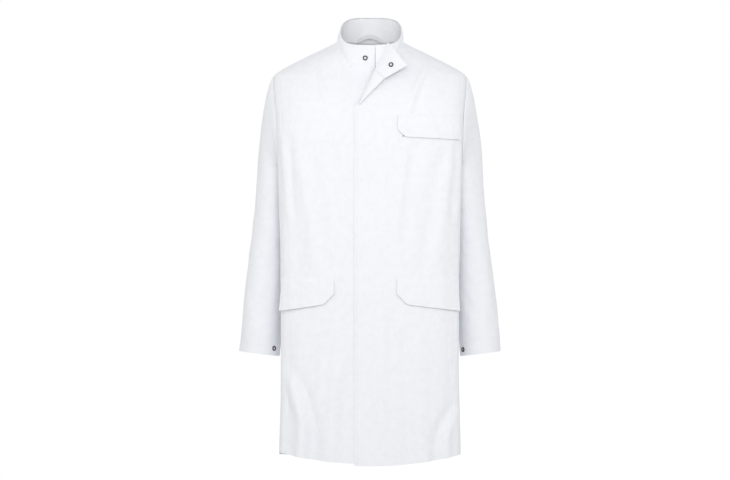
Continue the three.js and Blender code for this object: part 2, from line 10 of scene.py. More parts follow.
import bpy
import numpy as np
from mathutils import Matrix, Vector


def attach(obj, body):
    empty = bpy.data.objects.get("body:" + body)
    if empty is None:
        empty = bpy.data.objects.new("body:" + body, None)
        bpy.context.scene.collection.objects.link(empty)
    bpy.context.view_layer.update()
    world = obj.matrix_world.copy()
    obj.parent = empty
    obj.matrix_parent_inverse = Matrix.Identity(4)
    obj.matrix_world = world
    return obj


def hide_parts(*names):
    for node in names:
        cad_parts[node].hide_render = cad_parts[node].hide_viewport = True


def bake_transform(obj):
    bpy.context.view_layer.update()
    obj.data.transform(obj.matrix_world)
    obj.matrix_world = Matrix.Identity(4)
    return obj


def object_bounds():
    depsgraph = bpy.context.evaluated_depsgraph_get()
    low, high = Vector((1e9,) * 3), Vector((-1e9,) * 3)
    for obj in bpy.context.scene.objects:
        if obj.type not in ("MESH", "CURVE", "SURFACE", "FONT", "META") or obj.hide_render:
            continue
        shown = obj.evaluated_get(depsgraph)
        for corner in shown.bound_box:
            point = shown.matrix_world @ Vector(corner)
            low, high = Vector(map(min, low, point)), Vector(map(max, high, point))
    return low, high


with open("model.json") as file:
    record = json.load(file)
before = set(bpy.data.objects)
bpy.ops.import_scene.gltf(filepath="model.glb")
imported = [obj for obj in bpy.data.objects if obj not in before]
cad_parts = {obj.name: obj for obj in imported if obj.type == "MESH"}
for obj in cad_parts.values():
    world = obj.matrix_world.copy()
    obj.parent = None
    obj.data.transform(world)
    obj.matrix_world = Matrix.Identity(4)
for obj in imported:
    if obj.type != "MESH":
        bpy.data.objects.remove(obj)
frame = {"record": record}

cad_low, cad_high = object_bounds()
print("CAD box in metres:", [round(v, 3) for v in (*cad_low, *cad_high)])

# %% [markdown]
# A coat is easiest to measure from its hem upwards, as a tailor does, in
# millimetres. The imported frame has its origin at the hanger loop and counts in
# metres. One small helper turns one into the other. The two offsets come from
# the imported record: the hem is the lowest point, and the side seam is the hinge
# line of the left front.

# %% From the hem to the frame
SIDE_SEAM_Y = -60.0
swing = next(j for j in frame["record"]["behaviour"]["joints"] if j["name"] == "left_front_swing")
hang_point = np.array([0.0, SIDE_SEAM_Y - 1000.0 * swing["pos_m"][1], -1000.0 * cad_low[2]])


def in_frame(points):
    """Hem millimetres to frame metres."""
    return (np.asarray(points, float) - hang_point) / 1000.0


def frame_point(x, y, z):
    return tuple(float(v) for v in in_frame([x, y, z]))


print("hanger loop above the hem, mm:", np.round(hang_point, 1))

# %% [markdown]
# A body of cloth on a form is a stack of rounded outlines, wide at the chest and
# drawn in at the neck. Curves through a few measured heights give every outline
# in between. The curves never overshoot their measures, so the cloth gets no
# dents that nobody drew.

# %% Curves through measured heights
def smooth_curve(stations):
    """A curve through (place, value) pairs that never overshoots them."""
    at, value = np.array(stations, float).T
    slope = np.diff(value) / np.diff(at)
    product = slope[:-1] * slope[1:]
    total = np.where(product > 0, slope[:-1] + slope[1:], 1.0)
    inner = np.where(product > 0, 2 * product / total, 0.0)
    tangent = np.concatenate([slope[:1], inner, slope[-1:]])

    def curve(x):
        x = np.clip(np.asarray(x, float), at[0], at[-1])
        i = np.clip(np.searchsorted(at, x, side="right") - 1, 0, len(at) - 2)
        width = at[i + 1] - at[i]
        t = (x - at[i]) / width
        start = (1 + 2 * t) * (1 - t) ** 2 * value[i] + t * (1 - t) ** 2 * width * tangent[i]
        end = t**2 * (3 - 2 * t) * value[i + 1] - t**2 * (1 - t) * width * tangent[i + 1]
        return start + end

    return curve


def smoothstep(x, low, high):
    t = np.clip((np.asarray(x, float) - low) / (high - low), 0, 1)
    return t * t * (3 - 2 * t)


print("halfway between 0 and 1 the smooth step is", float(smoothstep(0.5, 0, 1)))

# %% [markdown]
# The table holds the coat's outline at fifteen heights: half its width, how far
# it reaches forward and back, where it is widest, and how round its front and
# back are. A superellipse with these numbers is rounder than a box and fuller
# than an ellipse, as cloth hanging over a chest is.

# %% The outline of the coat at each height
OUTLINES = np.array([
    # height, half width, front, back, widest at, front roundness, back roundness
    (-20, 216, -122, 98, -60, 2.3, 1.95),
    (270, 214, -126, 97, -60, 2.35, 1.85),
    (420, 214, -129, 96, -60, 2.4, 1.75),
    (635, 218, -132, 95, -60, 2.4, 1.5),
    (775, 222, -134, 95, -60, 2.4, 1.5),
    (840, 224, -129, 94, -54, 2.4, 1.6),
    (880, 228, -119, 92, -38, 2.35, 1.8),
    (919, 231, -101, 88, -18, 2.3, 1.95),
    (936, 230, -90, 84, -8, 2.3, 2),
    (950, 212, -82, 81, -2, 2.3, 2),
    (965, 185, -74, 77, 2, 2.3, 2),
    (979, 158, -66, 73, 4, 2.3, 2),
    (994, 128, -54, 68, 6, 2.3, 2),
    (1008, 98, -40, 63, 8, 2.3, 2),
    (1018, 80, -28, 59, 9, 2.3, 2),
])
half_width, front_y, back_y, widest_y, front_round, back_round = (
    smooth_curve(OUTLINES[:, [0, k]]) for k in range(1, 7)
)
neck_seam = smooth_curve([(0, 940), (11.7, 950), (15.6, 962), (25.4, 985), (46, 1007), (64, 1014),
                          (90, 1018), (135, 1017), (180, 1013)])
armhole_back = smooth_curve([(722, 92), (734, 112), (757, 127), (800, 134), (860, 133), (905, 122),
                             (926, 107), (936, 92)])
HEM_SIDE_RISE = 26.0


def outline(angle, z):
    """The bare outline; angle 0 is the middle of the front, 90 the wearer's left side."""
    s = np.sin(np.radians(angle))
    in_front = np.abs(angle) <= 90
    roundness = np.where(in_front, front_round(z), back_round(z))
    depth = np.where(in_front, widest_y(z) - front_y(z), back_y(z) - widest_y(z))
    reach = depth * np.maximum(0, 1 - np.abs(s) ** roundness) ** (1 / roundness)
    y = widest_y(z) + np.where(in_front, -reach, reach)
    return np.stack([half_width(z) * s, y, z + 0 * s], -1)


def unit(vectors):
    return vectors / np.maximum(np.linalg.norm(vectors, axis=-1, keepdims=True), 1e-9)


def outward(angle, z):
    across = outline(angle + 0.6, z) - outline(angle - 0.6, z)
    up = outline(angle, z + 2) - outline(angle, z - 2)
    return unit(np.cross(across, up))


def angle_at(x, z):
    return np.degrees(np.arcsin(np.clip(x / half_width(z), -1, 1)))


def hem_height(angle):
    return HEM_SIDE_RISE * np.sin(np.radians(angle)) ** 2


print("chest width", 2 * float(half_width(800)), "mm; hem width", 2 * float(half_width(0)), "mm")

# %% [markdown]
# Cloth that hangs is never smooth. Long soft waves run down from the shoulders
# and chest, a few deeper folds open towards the hem, and small creases stay from
# packing. They could be simulated, but a simulation moves the seams and pockets
# off their measured places. Adding the folds as a height over the outline keeps
# each layer of the closed front parallel to the one below it.

# %% Folds of the hanging cloth
rng = np.random.default_rng(11)
LATTICE = rng.uniform(-1, 1, (64, 64))


def waves(a, b):
    """Soft random hills, one per whole number each way."""
    i, j = np.floor(a).astype(int), np.floor(b).astype(int)
    s, t = a - i, b - j
    s, t = s * s * (3 - 2 * s), t * t * (3 - 2 * t)

    def hill(p, q):
        return LATTICE[p % 64, q % 64]

    near = hill(i, j) * (1 - s) + hill(i + 1, j) * s
    far = hill(i, j + 1) * (1 - s) + hill(i + 1, j + 1) * s
    return near * (1 - t) + far * t


def fold(across, z, path, width, height):
    """A ridge along a path of (height, place) with the hollow that lies beside it."""
    place = smooth_curve(path)
    low, high = path[0][0], path[-1][0]
    ends = smoothstep(z, low - 30, low + 25) * (1 - smoothstep(z, high - 60, high + 10))
    d = (across - place(z)) / width
    return height * ends * (np.exp(-d * d) - 0.75 * np.exp(-((d - 1.7) ** 2)))


FRONT_FOLDS = [
    # (height, place) along the ridge, its width, its height
    ([(-10, -168), (98, -160), (151, -174), (235, -198)], 15, 9.5),
    ([(-10, 158), (60, 160), (100, 170), (150, 194)], 14, -8.5),
    ([(-10, -95), (120, -92), (260, -84)], 17, 4.2),
    ([(-10, 92), (160, 88), (330, 82)], 18, -4.6),
    ([(-10, 30), (200, 24), (380, 28)], 14, 2.2),
    ([(120, -132), (230, -120), (345, -118)], 13, 2.4),
    ([(470, -130), (620, -150), (760, -172)], 17, 3.8),
    ([(480, 128), (640, 150), (770, 176)], 17, -3.8),
    ([(540, 60), (680, 76), (790, 92)], 12, 2.6),
    ([(560, -60), (700, -78), (820, -98)], 13, -2.6),
    ([(600, 196), (700, 202), (800, 210)], 9, -3.4),
    ([(590, -196), (700, -202), (800, -210)], 9, 3.4),
    ([(845, 92), (905, 112), (965, 134), (996, 128)], 9, 4.2),
    ([(850, -110), (920, -128), (980, -128)], 9, -2.2),
    ([(792, 158), (815, 152), (842, 146)], 6, 1.6),
]
BACK_FOLDS = [
    ([(-10, -120), (200, -112), (430, -100)], 20, 5.5),
    ([(-10, 116), (180, 110), (400, 96)], 20, -5.5),
    ([(-10, -40), (220, -36), (460, -30)], 20, 4.0),
    ([(-10, 48), (220, 42), (470, 34)], 20, -4.0),
    ([(420, -120), (600, -140), (800, -170)], 18, 3.4),
    ([(420, 120), (600, 140), (800, 170)], 18, -3.4),
    ([(500, -50), (700, -60), (860, -74)], 17, 2.4),
    ([(500, 50), (700, 60), (860, 74)], 17, -2.4),
]


LONG_WAVE, SHORT_WAVE, CREASE = 1.5, 0.6, 0.28


def drape(angle, z, x):
    """How far the cloth stands off its bare outline, in millimetres."""
    calm_at_neck = 1 - 0.75 * smoothstep(z, 880, 960)
    off_back_seam = 1 - smoothstep(np.abs(angle), 168, 178)
    freer_below = 1 + 0.9 * (1 - smoothstep(z, 0, 420))
    height = calm_at_neck * off_back_seam * freer_below * LONG_WAVE * waves(angle / 13 + 5, z / 240 + 3)
    height += calm_at_neck * off_back_seam * SHORT_WAVE * waves(angle / 5.5 + 21, z / 75 + 11)
    height += off_back_seam * CREASE * waves(angle / 2.1 + 40, z / 26 + 17)
    front = sum(fold(x, z, *f) for f in FRONT_FOLDS)
    back = sum(fold(x, z, *f) for f in BACK_FOLDS) * off_back_seam
    off_side_seam = smoothstep(np.abs(np.abs(angle) - 90), 0, 14)
    return height + np.where(np.abs(angle) <= 90, front, back) * off_side_seam


def surface(angle, z, inset=0.0):
    """The draped outside of the coat, or a layer that lies inset millimetres within."""
    bare = outline(angle, z)
    lift = drape(angle, z, bare[..., 0]) - inset
    return bare + outward(angle, z) * np.asarray(lift)[..., None]


sample = drape(np.linspace(-89, 89, 90), np.full(90, 40.0), np.linspace(-215, 215, 90))
print("the hem waves from %.1f to %.1f mm" % (sample.min(), sample.max()))

# %% [markdown]
# Every piece of cloth here is a grid of points with a second grid behind it, so
# it has a real thickness and a real edge. Blender's Solidify modifier could do
# this, but making both faces at once lets the weave follow the cloth: each point
# knows how far along and across the cut piece it lies, and that is its texture
# place. The same lengths give the size the piece was cut to. A pocket slit is a
# real opening: the squares inside it are left out, and its edge is closed.

# %% A piece of cloth from a grid of points
SHARP_FOLD = 52


def grid_faces(rows, columns, wrap):
    across = columns if wrap else columns - 1
    i, j = np.meshgrid(np.arange(across), np.arange(rows - 1))
    a = (j * columns + i).ravel()
    b = (j * columns + (i + 1) % columns).ravel()
    return np.stack([a, b, b + columns, a + columns], 1)


def rim_faces(rows, columns, count, wrap):
    across = np.arange(columns if wrap else columns - 1)
    beside = (across + 1) % columns
    last = (rows - 1) * columns
    rims = [np.stack([beside, across, across + count, beside + count], 1),
            np.stack([last + across, last + beside, last + beside + count, last + across + count], 1)]
    if not wrap:
        up = np.arange(rows - 1) * columns
        right = up + columns - 1
        rims.append(np.stack([up, up + columns, up + columns + count, up + count], 1))
        rims.append(np.stack([right + columns, right, right + count, right + columns + count], 1))
    return np.concatenate(rims)


def grid_normals(points, wrap):
    if wrap:
        across = np.roll(points, -1, 1) - np.roll(points, 1, 1)
    else:
        across = np.gradient(points, axis=1)
    return unit(np.cross(across, np.gradient(points, axis=0)))


def cut_lengths(points, wrap):
    """Millimetres across and along the piece at each point, measured on the cloth."""
    across = np.linalg.norm(np.diff(points, axis=1), axis=-1)
    across = np.concatenate([np.zeros((len(points), 1)), np.cumsum(across, 1)], 1)
    along = np.linalg.norm(np.diff(points, axis=0), axis=-1)
    along = np.concatenate([np.zeros((1, points.shape[1])), np.cumsum(along, 0)], 0)
    return across, along


def new_piece(name, points, faces, sharp=None):
    """A smooth mesh from hem millimetres; edges sharper than sharp degrees stay sharp."""
    mesh = bpy.data.meshes.new(name)
    mesh.from_pydata(in_frame(points).tolist(), [], faces)
    mesh.polygons.foreach_set("use_smooth", np.ones(len(mesh.polygons), bool))
    if sharp is not None:
        mesh.set_sharp_from_angle(angle=math.radians(sharp))
    piece = bpy.data.objects.new(name, mesh)
    bpy.context.scene.collection.objects.link(piece)
    return piece


def slit_mask(points, slits):
    """True for each grid square inside a slit, given as (low x, high x, low z, high z)."""
    middle = (points[1:, 1:] + points[:-1, :-1]) / 2
    mask = np.zeros(middle.shape[:2], bool)
    for low_x, high_x, low_z, high_z in slits:
        centre = int(np.argmin(np.abs(middle[len(points) // 2, :, 0] - (low_x + high_x) / 2)))
        level = (middle[:, centre, 2] > low_z - 1) & (middle[:, centre, 2] < high_z + 1)
        mask |= (middle[..., 0] > low_x) & (middle[..., 0] < high_x) & level[:, None]
    return mask


def slit_rims(mask, columns, count):
    """Faces that close the edge of left-out squares between the two sides."""
    rims = []
    open_at = np.pad(mask, 1, constant_values=True)
    for j, i in np.argwhere(mask):
        a, b = j * columns + i, j * columns + i + 1
        c, d = b + columns, a + columns
        sides = [(a, b, open_at[j, i + 1]), (c, d, open_at[j + 2, i + 1]),
                 (d, a, open_at[j + 1, i]), (b, c, open_at[j + 1, i + 2])]
        rims += [(p, q, q + count, p + count) for p, q, is_open in sides if not is_open]
    return np.array(rims, int).reshape(-1, 4)


def cloth(name, points, thickness, axis=(0.0, 0.0), wrap=False, by_place=False, slits=()):
    """A closed piece of cloth whose outer face is the grid; axis is (x, y) of what it goes round.

    With by_place the weave counts from the coat's middle, so that neighbours line up."""
    points = np.asarray(points, float)
    normals = grid_normals(points, wrap)
    away = points - np.array([axis[0], axis[1], 0.0])
    away[..., 2] = 0
    if (normals * away).sum() < 0:
        points, normals = points[:, ::-1], -normals[:, ::-1]
    rows, columns = points.shape[:2]
    count = rows * columns
    across, along = cut_lengths(points, wrap)
    shift = points[:, :1, 0] if by_place else 0.0
    places = np.stack([across + shift, along + points[:1, :, 2]], -1).reshape(-1, 2) / 1000
    front = grid_faces(rows, columns, wrap)
    rims = rim_faces(rows, columns, count, wrap)
    if slits:
        mask = slit_mask(points, slits)
        front = front[~mask.ravel()]
        rims = np.concatenate([rims, slit_rims(mask, columns, count)])
    faces = np.concatenate([front, front[:, ::-1] + count, rims])
    both = np.concatenate([points.reshape(-1, 3), (points - normals * thickness).reshape(-1, 3)])
    piece = new_piece(name, both, faces.tolist(), SHARP_FOLD)
    weave = piece.data.uv_layers.new(name="weave")
    corner = np.zeros(len(piece.data.loops), int)
    piece.data.loops.foreach_get("vertex_index", corner)
    weave.data.foreach_set("uv", np.concatenate([places, places])[corner].ravel())
    piece.data.validate()
    round_off = np.concatenate([points, points[:, :1]], 1) if wrap else points
    upper, lower = round_off[1:], round_off[:-1]
    squares = np.cross(upper[:, :-1] - lower[:, :-1], lower[:, 1:] - lower[:, :-1])
    width = float(across.max()) / 1000 * (columns / (columns - 1) if wrap else 1)
    length = float(along.max()) / 1000
    area = float(np.linalg.norm(squares, axis=-1).sum()) / 1e6
    area = min(max(area, 0.31 * width * length), width * length)
    return piece


def grid(columns, rows):
    """Shares from 0 to 1 across and up a piece."""
    return np.meshgrid(np.linspace(0, 1, columns), np.linspace(0, 1, rows))


print("a piece of 3 by 3 points has", len(grid_faces(3, 3, False)), "faces on each side")
print("a lone square left out leaves", len(slit_rims(np.pad([[True]], 1), 4, 16)), "edges to close")

# %% [markdown]
# Sewing thread shows as rows of short raised stitches, about three to the
# centimetre on work clothes. A painted dashed line has no shadow, so each stitch
# is a small spindle of thread laid along the seam and pulled slightly in.

# %% Rows of stitches
STITCH_PITCH, STITCH_LENGTH, STITCH_WIDTH, STITCH_LIFT = 3.3, 2.5, 0.5, 0.1
SPINDLE = np.array([(4, 0, 2), (4, 2, 1), (4, 1, 3), (4, 3, 0),
                    (5, 2, 0), (5, 1, 2), (5, 3, 1), (5, 0, 3)])


def stitch_row(name, line_and_out, follows):
    """Spindles of thread along a line of points; out is the way the cloth faces there."""
    line, out = line_and_out
    steps = np.linalg.norm(np.diff(line, axis=0), axis=1)
    far = np.concatenate([[0], np.cumsum(steps)])
    at = np.arange(STITCH_PITCH / 2, far[-1], STITCH_PITCH)

    def along(values, place):
        return np.stack([np.interp(place, far, values[:, k]) for k in range(3)], 1)

    way = unit(along(line, at + 1) - along(line, at - 1))
    up = unit(along(out, at))
    beside = unit(np.cross(way, up))
    middle = along(line, at) + up * STITCH_LIFT
    corners = [middle - way * STITCH_LENGTH / 2, middle + way * STITCH_LENGTH / 2,
               middle + beside * STITCH_WIDTH / 2, middle - beside * STITCH_WIDTH / 2,
               middle + up * STITCH_WIDTH * 0.55, middle - up * STITCH_WIDTH * 0.8]
    faces = (SPINDLE[None] + 6 * np.arange(len(at))[:, None, None]).reshape(-1, 3)
    row = new_piece(name, np.stack(corners, 1).reshape(-1, 3), faces.tolist())
    row.data.materials.append(thread)
    follow(row, follows)


def on_surface(angles, heights, inset=0.0):
    angles, heights = np.asarray(angles, float), np.asarray(heights, float)
    return surface(angles, heights, inset), outward(angles, heights)


print("stitches to the centimetre:", round(10 / STITCH_PITCH, 1))

# %% [markdown]
# White work cloth is a cotton and polyester twill. Close up it has fine diagonal
# ribs; further off it shows a faint grid, where a darker thread is woven in every
# few millimetres to carry off static. Both come from wave textures that run on
# the cloth's own lengths, so they bend with every fold. A soft noise breaks the
# grid up and gives the cloth slight greying from wear and washing.

# %% Shader helpers
def new_material(name):
    material = bpy.data.materials.new(name)
    material.use_nodes = True
    nodes = material.node_tree.nodes
    return material, nodes, material.node_tree.links, nodes["Principled BSDF"]


def settle(node, **values):
    """Sets a node's inputs by name; an underscore stands for a space."""
    for socket, value in values.items():
        node.inputs[socket.replace("_", " ")].default_value = value


def maths(nodes, links, kind, first, second, third=0.0):
    """A Math node; each input may be a number or another node's output."""
    node = nodes.new("ShaderNodeMath")
    node.operation = kind
    for place, value in enumerate((first, second, third)):
        if isinstance(value, (int, float)):
            node.inputs[place].default_value = value
        else:
            links.new(value, node.inputs[place])
    return node.outputs[0]


def bands(nodes, links, place, direction, pitch, distortion=0.0):
    """Soft bands every pitch metres across the cloth."""
    wave = nodes.new("ShaderNodeTexWave")
    wave.wave_type = "BANDS"
    wave.bands_direction = direction
    settle(wave, Scale=2 * math.pi / (20 * pitch), Distortion=distortion)
    links.new(place, wave.inputs["Vector"])
    return wave.outputs["Fac"]


def noise(nodes, links, place, scale, detail=3.0):
    node = nodes.new("ShaderNodeTexNoise")
    settle(node, Scale=scale, Detail=detail)
    links.new(place, node.inputs["Vector"])
    return node.outputs["Fac"]


def coloured(nodes, links, skin, first, second, share):
    """The skin's colour, going from the first to the second by share."""
    shade = nodes.new("ShaderNodeMix")
    shade.data_type = "RGBA"
    settle(shade, A=(*first, 1), B=(*second, 1))
    links.new(share, shade.inputs["Factor"])
    links.new(shade.outputs["Result"], skin.inputs["Base Color"])


def bumped(nodes, links, skin, strength, distance, height):
    """Adds a bump over any that the skin already has."""
    bump = nodes.new("ShaderNodeBump")
    settle(bump, Strength=strength, Distance=distance)
    links.new(height, bump.inputs["Height"])
    for link in skin.inputs["Normal"].links:
        links.new(link.from_socket, bump.inputs["Normal"])
    links.new(bump.outputs["Normal"], skin.inputs["Normal"])


print("a wave texture of scale", round(2 * math.pi / (20 * 0.005), 1), "repeats every 5 mm")


# %% Woven cloth
GRID_PITCH, GRID_THREAD = 0.005, (0.42, 0.45, 0.52)


def woven(name, colour, grid_depth=0.2, rib_pitch=0.0011, rib_height=0.00016, worn=0.05):
    material, nodes, links, skin = new_material(name)
    place = nodes.new("ShaderNodeTexCoord").outputs["UV"]
    settle(skin, Sheen_Weight=0.25, Sheen_Roughness=0.45, Specular_IOR_Level=0.25)
    across, along = (
        maths(nodes, links, "POWER", bands(nodes, links, place, way, GRID_PITCH), 14) for way in "XY"
    )
    patches = maths(nodes, links, "MULTIPLY_ADD", noise(nodes, links, place, 55, 2), 3.4, -1.4)
    patches.node.use_clamp = True
    lines = maths(nodes, links, "MAXIMUM", across, along)
    lines = maths(nodes, links, "MULTIPLY", lines, patches)
    lines = maths(nodes, links, "MULTIPLY", lines, grid_depth)
    wear = maths(nodes, links, "MULTIPLY", noise(nodes, links, place, 9, 5), worn)
    coloured(nodes, links, skin, colour, GRID_THREAD, maths(nodes, links, "ADD", lines, wear))
    rough = maths(nodes, links, "MULTIPLY_ADD", noise(nodes, links, place, 240, 3), 0.14, 0.8)
    links.new(rough, skin.inputs["Roughness"])
    bumped(nodes, links, skin, 0.35, 0.0016, noise(nodes, links, place, 70, 4))
    bumped(nodes, links, skin, 0.35, rib_height, bands(nodes, links, place, "DIAGONAL", rib_pitch, 0.6))
    return material


coat_twill = woven("coat_twill", (0.825, 0.84, 0.87))
# The lining is the same white cloth as the coat, painted brighter than it to lift the shade inside the
# collar and neck.
lining_twill_painted_bright = woven("lining_twill_painted_bright", (0.88, 0.885, 0.905), grid_depth=0.12)
tape_weave = woven("tape_weave", (0.8, 0.81, 0.83), grid_depth=0.05, rib_pitch=0.002, rib_height=0.0003)
label_weave = woven("label_weave", (0.24, 0.26, 0.3), grid_depth=0.1, rib_pitch=0.0008)
print("woven materials:", coat_twill.name, lining_twill_painted_bright.name, tape_weave.name, label_weave.name)

# %% [markdown]
# Polyester thread is a little brighter and glossier than the cloth, which is why
# stitching catches the light. The snaps are pressed from brass and plated dark:
# a metal with fine scratches, brighter where the ring is rubbed.

# %% Thread and plated metal
def polished(name, colour, metallic, roughness, grain):
    material, nodes, links, skin = new_material(name)
    place = nodes.new("ShaderNodeTexCoord").outputs["Object"]
    settle(skin, Metallic=metallic)
    mottle = noise(nodes, links, place, grain, 4)
    coloured(nodes, links, skin, colour, [min(1.0, 1.5 * c) for c in colour], mottle)
    links.new(maths(nodes, links, "MULTIPLY_ADD", mottle, 0.25, roughness), skin.inputs["Roughness"])
    bumped(nodes, links, skin, 0.15, 0.0001, mottle)
    return material


thread = polished("sewing_thread", (0.82, 0.835, 0.86), 0.0, 0.45, 900)
plated = polished("dark_plated_metal", (0.04, 0.04, 0.045), 0.8, 0.3, 1400)
print("small materials:", thread.name, plated.name)


# %% [markdown]
# Cloth has no hinges of its own. A front would swing by bending along its side, and a
# sleeve by bending below the shoulder. Such a piece, and each row of stitches on it,
# is only fixed where it hangs: the two bodies and two heights above the hem between
# which it would bend are worked out, but nothing here bends it. Everything else
# rides on one body.

# %% Dress and fasten a piece
FRONT_STILL, FRONT_FREE, SLEEVE_STILL, SLEEVE_FREE = 775, 455, 790, 600


def finish_cloth(piece, material, slot, follows, *nodes):
    """The piece's material, what it moves with, and the solids it stands for; slot is not used."""
    piece.data.materials.append(material)
    follow(piece, follows)
    if nodes:
        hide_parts(*nodes)
    return piece


def follow(piece, follows):
    """follows is a body's name to ride on, or a (body, body, start, end) tuple whose contents are not
    used; such a piece is only fixed where it hangs.
    """
    if isinstance(follows, str):
        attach(piece, follows)
    else:
        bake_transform(piece)


def bending(first, second, x, y, high, low):
    return (first, second, frame_point(x, y, high), frame_point(x, y, low))


LEFT_SWING = bending("torso", "left_front", 216, SIDE_SEAM_Y, FRONT_STILL, FRONT_FREE)
RIGHT_SWING = bending("torso", "right_front", -216, SIDE_SEAM_Y, FRONT_STILL, FRONT_FREE)
LEFT_RAISE = bending("torso", "left_arm", 250, 38, SLEEVE_STILL, SLEEVE_FREE)
RIGHT_RAISE = bending("torso", "right_arm", -250, 38, SLEEVE_STILL, SLEEVE_FREE)
print("the left front bends between", LEFT_SWING[2], "and", LEFT_SWING[3])

# %% [markdown]
# The fronts are the largest pieces. Each is one length of cloth from the hem to
# the neck seam, although the solids divide it where it begins to swing. The left
# front lies over the right one by a few millimetres at the closure, so the right
# one is set back there, and the left one's free edge bends in to meet it.

# %% The two fronts
OVERLAP_EDGE, UNDERLAP_EDGE, LAYER_STEP = -38.0, 12.0, 6.4
CLOTH, HEM_CLOTH, LINING = 1.5, 0.8, 2.2
FOLD_TOP = np.array([43.0, -69.2, 1013.0])
FOLD_FOOT = np.array([-27.0, -128.6, 862.0])


def under_share(x):
    """1 where the right front lies under the left, fading to 0 beyond the closure."""
    return 1 - smoothstep(-np.asarray(x, float), 42, 84)


def left_edge(z):
    """The left front's edge: straight, then along the lapel's fold line."""
    across, _, up = FOLD_TOP - FOLD_FOOT
    along_fold = FOLD_FOOT[0] + across * (z - FOLD_FOOT[2]) / up
    turned_back = smoothstep(z, 850, 866)
    return OVERLAP_EDGE * (1 - turned_back) + (along_fold + 2.5) * turned_back


def right_edge(z):
    return UNDERLAP_EDGE + 0 * z


def right_inset(x):
    return LAYER_STEP * under_share(x)


def front_points(end_angle, edge, low, inset, columns=110, rows=226):
    u, v = grid(columns, rows)
    edge_z = low + (940 - low) * v
    first = angle_at(edge(edge_z), edge_z)
    angle = first + (end_angle - first) * u**0.94
    bottom = hem_height(angle) + low
    z = bottom + (neck_seam(np.abs(angle)) - bottom) * v
    return surface(angle, z, inset(outline(angle, z)[..., 0]))


def edge_roll(x):
    """How far the left front's free edge bends in towards the right front."""
    return 4.4 * (1 - smoothstep(x, OVERLAP_EDGE - 1, OVERLAP_EDGE + 13))


left_points = front_points(89.8, left_edge, 0.0, edge_roll)
right_points = front_points(-89.8, right_edge, 5.0, right_inset)
LEFT_SLITS = [(80, 200, 812, 820), (78, 195, 421, 429)]
RIGHT_SLITS = [(-195, -100, 421, 429)]
left_front = cloth("left_front_cloth", left_points, CLOTH, by_place=True, slits=LEFT_SLITS)
right_front = cloth("right_front_cloth", right_points, CLOTH, by_place=True, slits=RIGHT_SLITS)
for front, name, swing in ((left_front, "left_front", LEFT_SWING),
                           (right_front, "right_front", RIGHT_SWING)):
    finish_cloth(front, coat_twill, "coat_cloth", swing, name + "_chest", name + "_skirt")
print("squares left out for the left slits:", int(slit_mask(left_points, LEFT_SLITS).sum()))

# %% [markdown]
# The back is cut in two with a seam down the middle, and each half stops at the
# armhole. Its top edge is the back of the neck seam.

# %% The back
ARMHOLE_FOOT, ARMHOLE_TOP = 722, 936


def back_points(side, columns=84, rows=226):
    u, v = grid(columns, rows)
    side_z = HEM_SIDE_RISE + (1018 - HEM_SIDE_RISE) * v
    in_armhole = (side_z > ARMHOLE_FOOT) & (side_z < ARMHOLE_TOP)
    edge = np.where(in_armhole, armhole_back(side_z), 90.3)
    angle = 180.0 - (180.0 - edge) * u
    bottom = hem_height(angle)
    z = bottom + (neck_seam(angle) - bottom) * v
    return surface(side * angle, z)


for name, side in (("left", 1), ("right", -1)):
    half = cloth(name + "_back_cloth", back_points(side), CLOTH)
    finish_cloth(half, coat_twill, "coat_cloth", "torso", name + "_back_panel")
print("each back half is", round(float(half_width(800)) * 1.2), "mm or so from seam to seam")

# %% [markdown]
# Inside the closure are two strips: the band on the left front that carries the
# concealed sockets, and the facing on the right front that carries the studs.
# Hems are turned up by 22 mm. All of them follow the same surface as the fronts,
# each a little further in, so that they stay against the cloth as it folds.

# %% Bands, facings and hems
HEM_DEPTH = 22


def strip_points(low_x, high_x, low_z, high_z, inset, columns=14, rows=150):
    u, v = grid(columns, rows)
    z = low_z + (high_z - low_z) * v
    angle = angle_at(low_x + (high_x - low_x) * u, z)
    return surface(angle, z, inset)


def hem_points(low_angle, high_angle, lift, inset, columns=70):
    u, v = grid(columns, 9)
    angle = low_angle + (high_angle - low_angle) * u
    z = hem_height(angle) + lift + HEM_DEPTH * v
    return surface(angle, z, inset)


STRIPS = [
    # its name, its points, its thickness, what it bends with, the node it replaces
    ("fly_socket_band", strip_points(-25, 34, 30, 773, LINING), HEM_CLOTH, LEFT_SWING,
     "fly_socket_band"),
    ("right_facing", strip_points(-44, 9, 34, 773, LAYER_STEP + LINING), 0.9, RIGHT_SWING,
     "right_front_facing"),
    ("left_hem", hem_points(30.5, 88, 2, 2.1), HEM_CLOTH, "left_front", "left_front_hem"),
    ("right_hem", hem_points(-88, -30.5, 7, 2.1), HEM_CLOTH, "right_front", "right_front_hem"),
]
for name, points, thickness, follows, node in STRIPS:
    strip = cloth(name + "_cloth", points, thickness, by_place=True)
    look = (coat_twill, "coat_cloth") if name.endswith("hem") else (lining_twill_painted_bright, "lining_cloth")
    finish_cloth(strip, *look, follows, node)


def back_hem_points(columns=150):
    u, v = grid(columns, 9)
    turn = 94 + 172 * u
    angle = np.where(turn > 180, turn - 360, turn)
    z = hem_height(angle) + 2 + HEM_DEPTH * v
    return surface(angle, z, 2.6)


back_hem = cloth("back_hem_cloth", back_hem_points(), HEM_CLOTH)
finish_cloth(back_hem, coat_twill, "coat_cloth", "torso", "back_hem")
print("turned-up hem at the back:", round(float(np.ptp(back_hem_points()[..., 0]))), "mm wide")

# %% [markdown]
# Pocket flaps are double cloth, cut with one corner taken off. They are sewn on
# along the top only, so the lower edge stands a little away and bows. Behind
# each slit hangs a flat bag. Flap and bag follow the front's own folds.

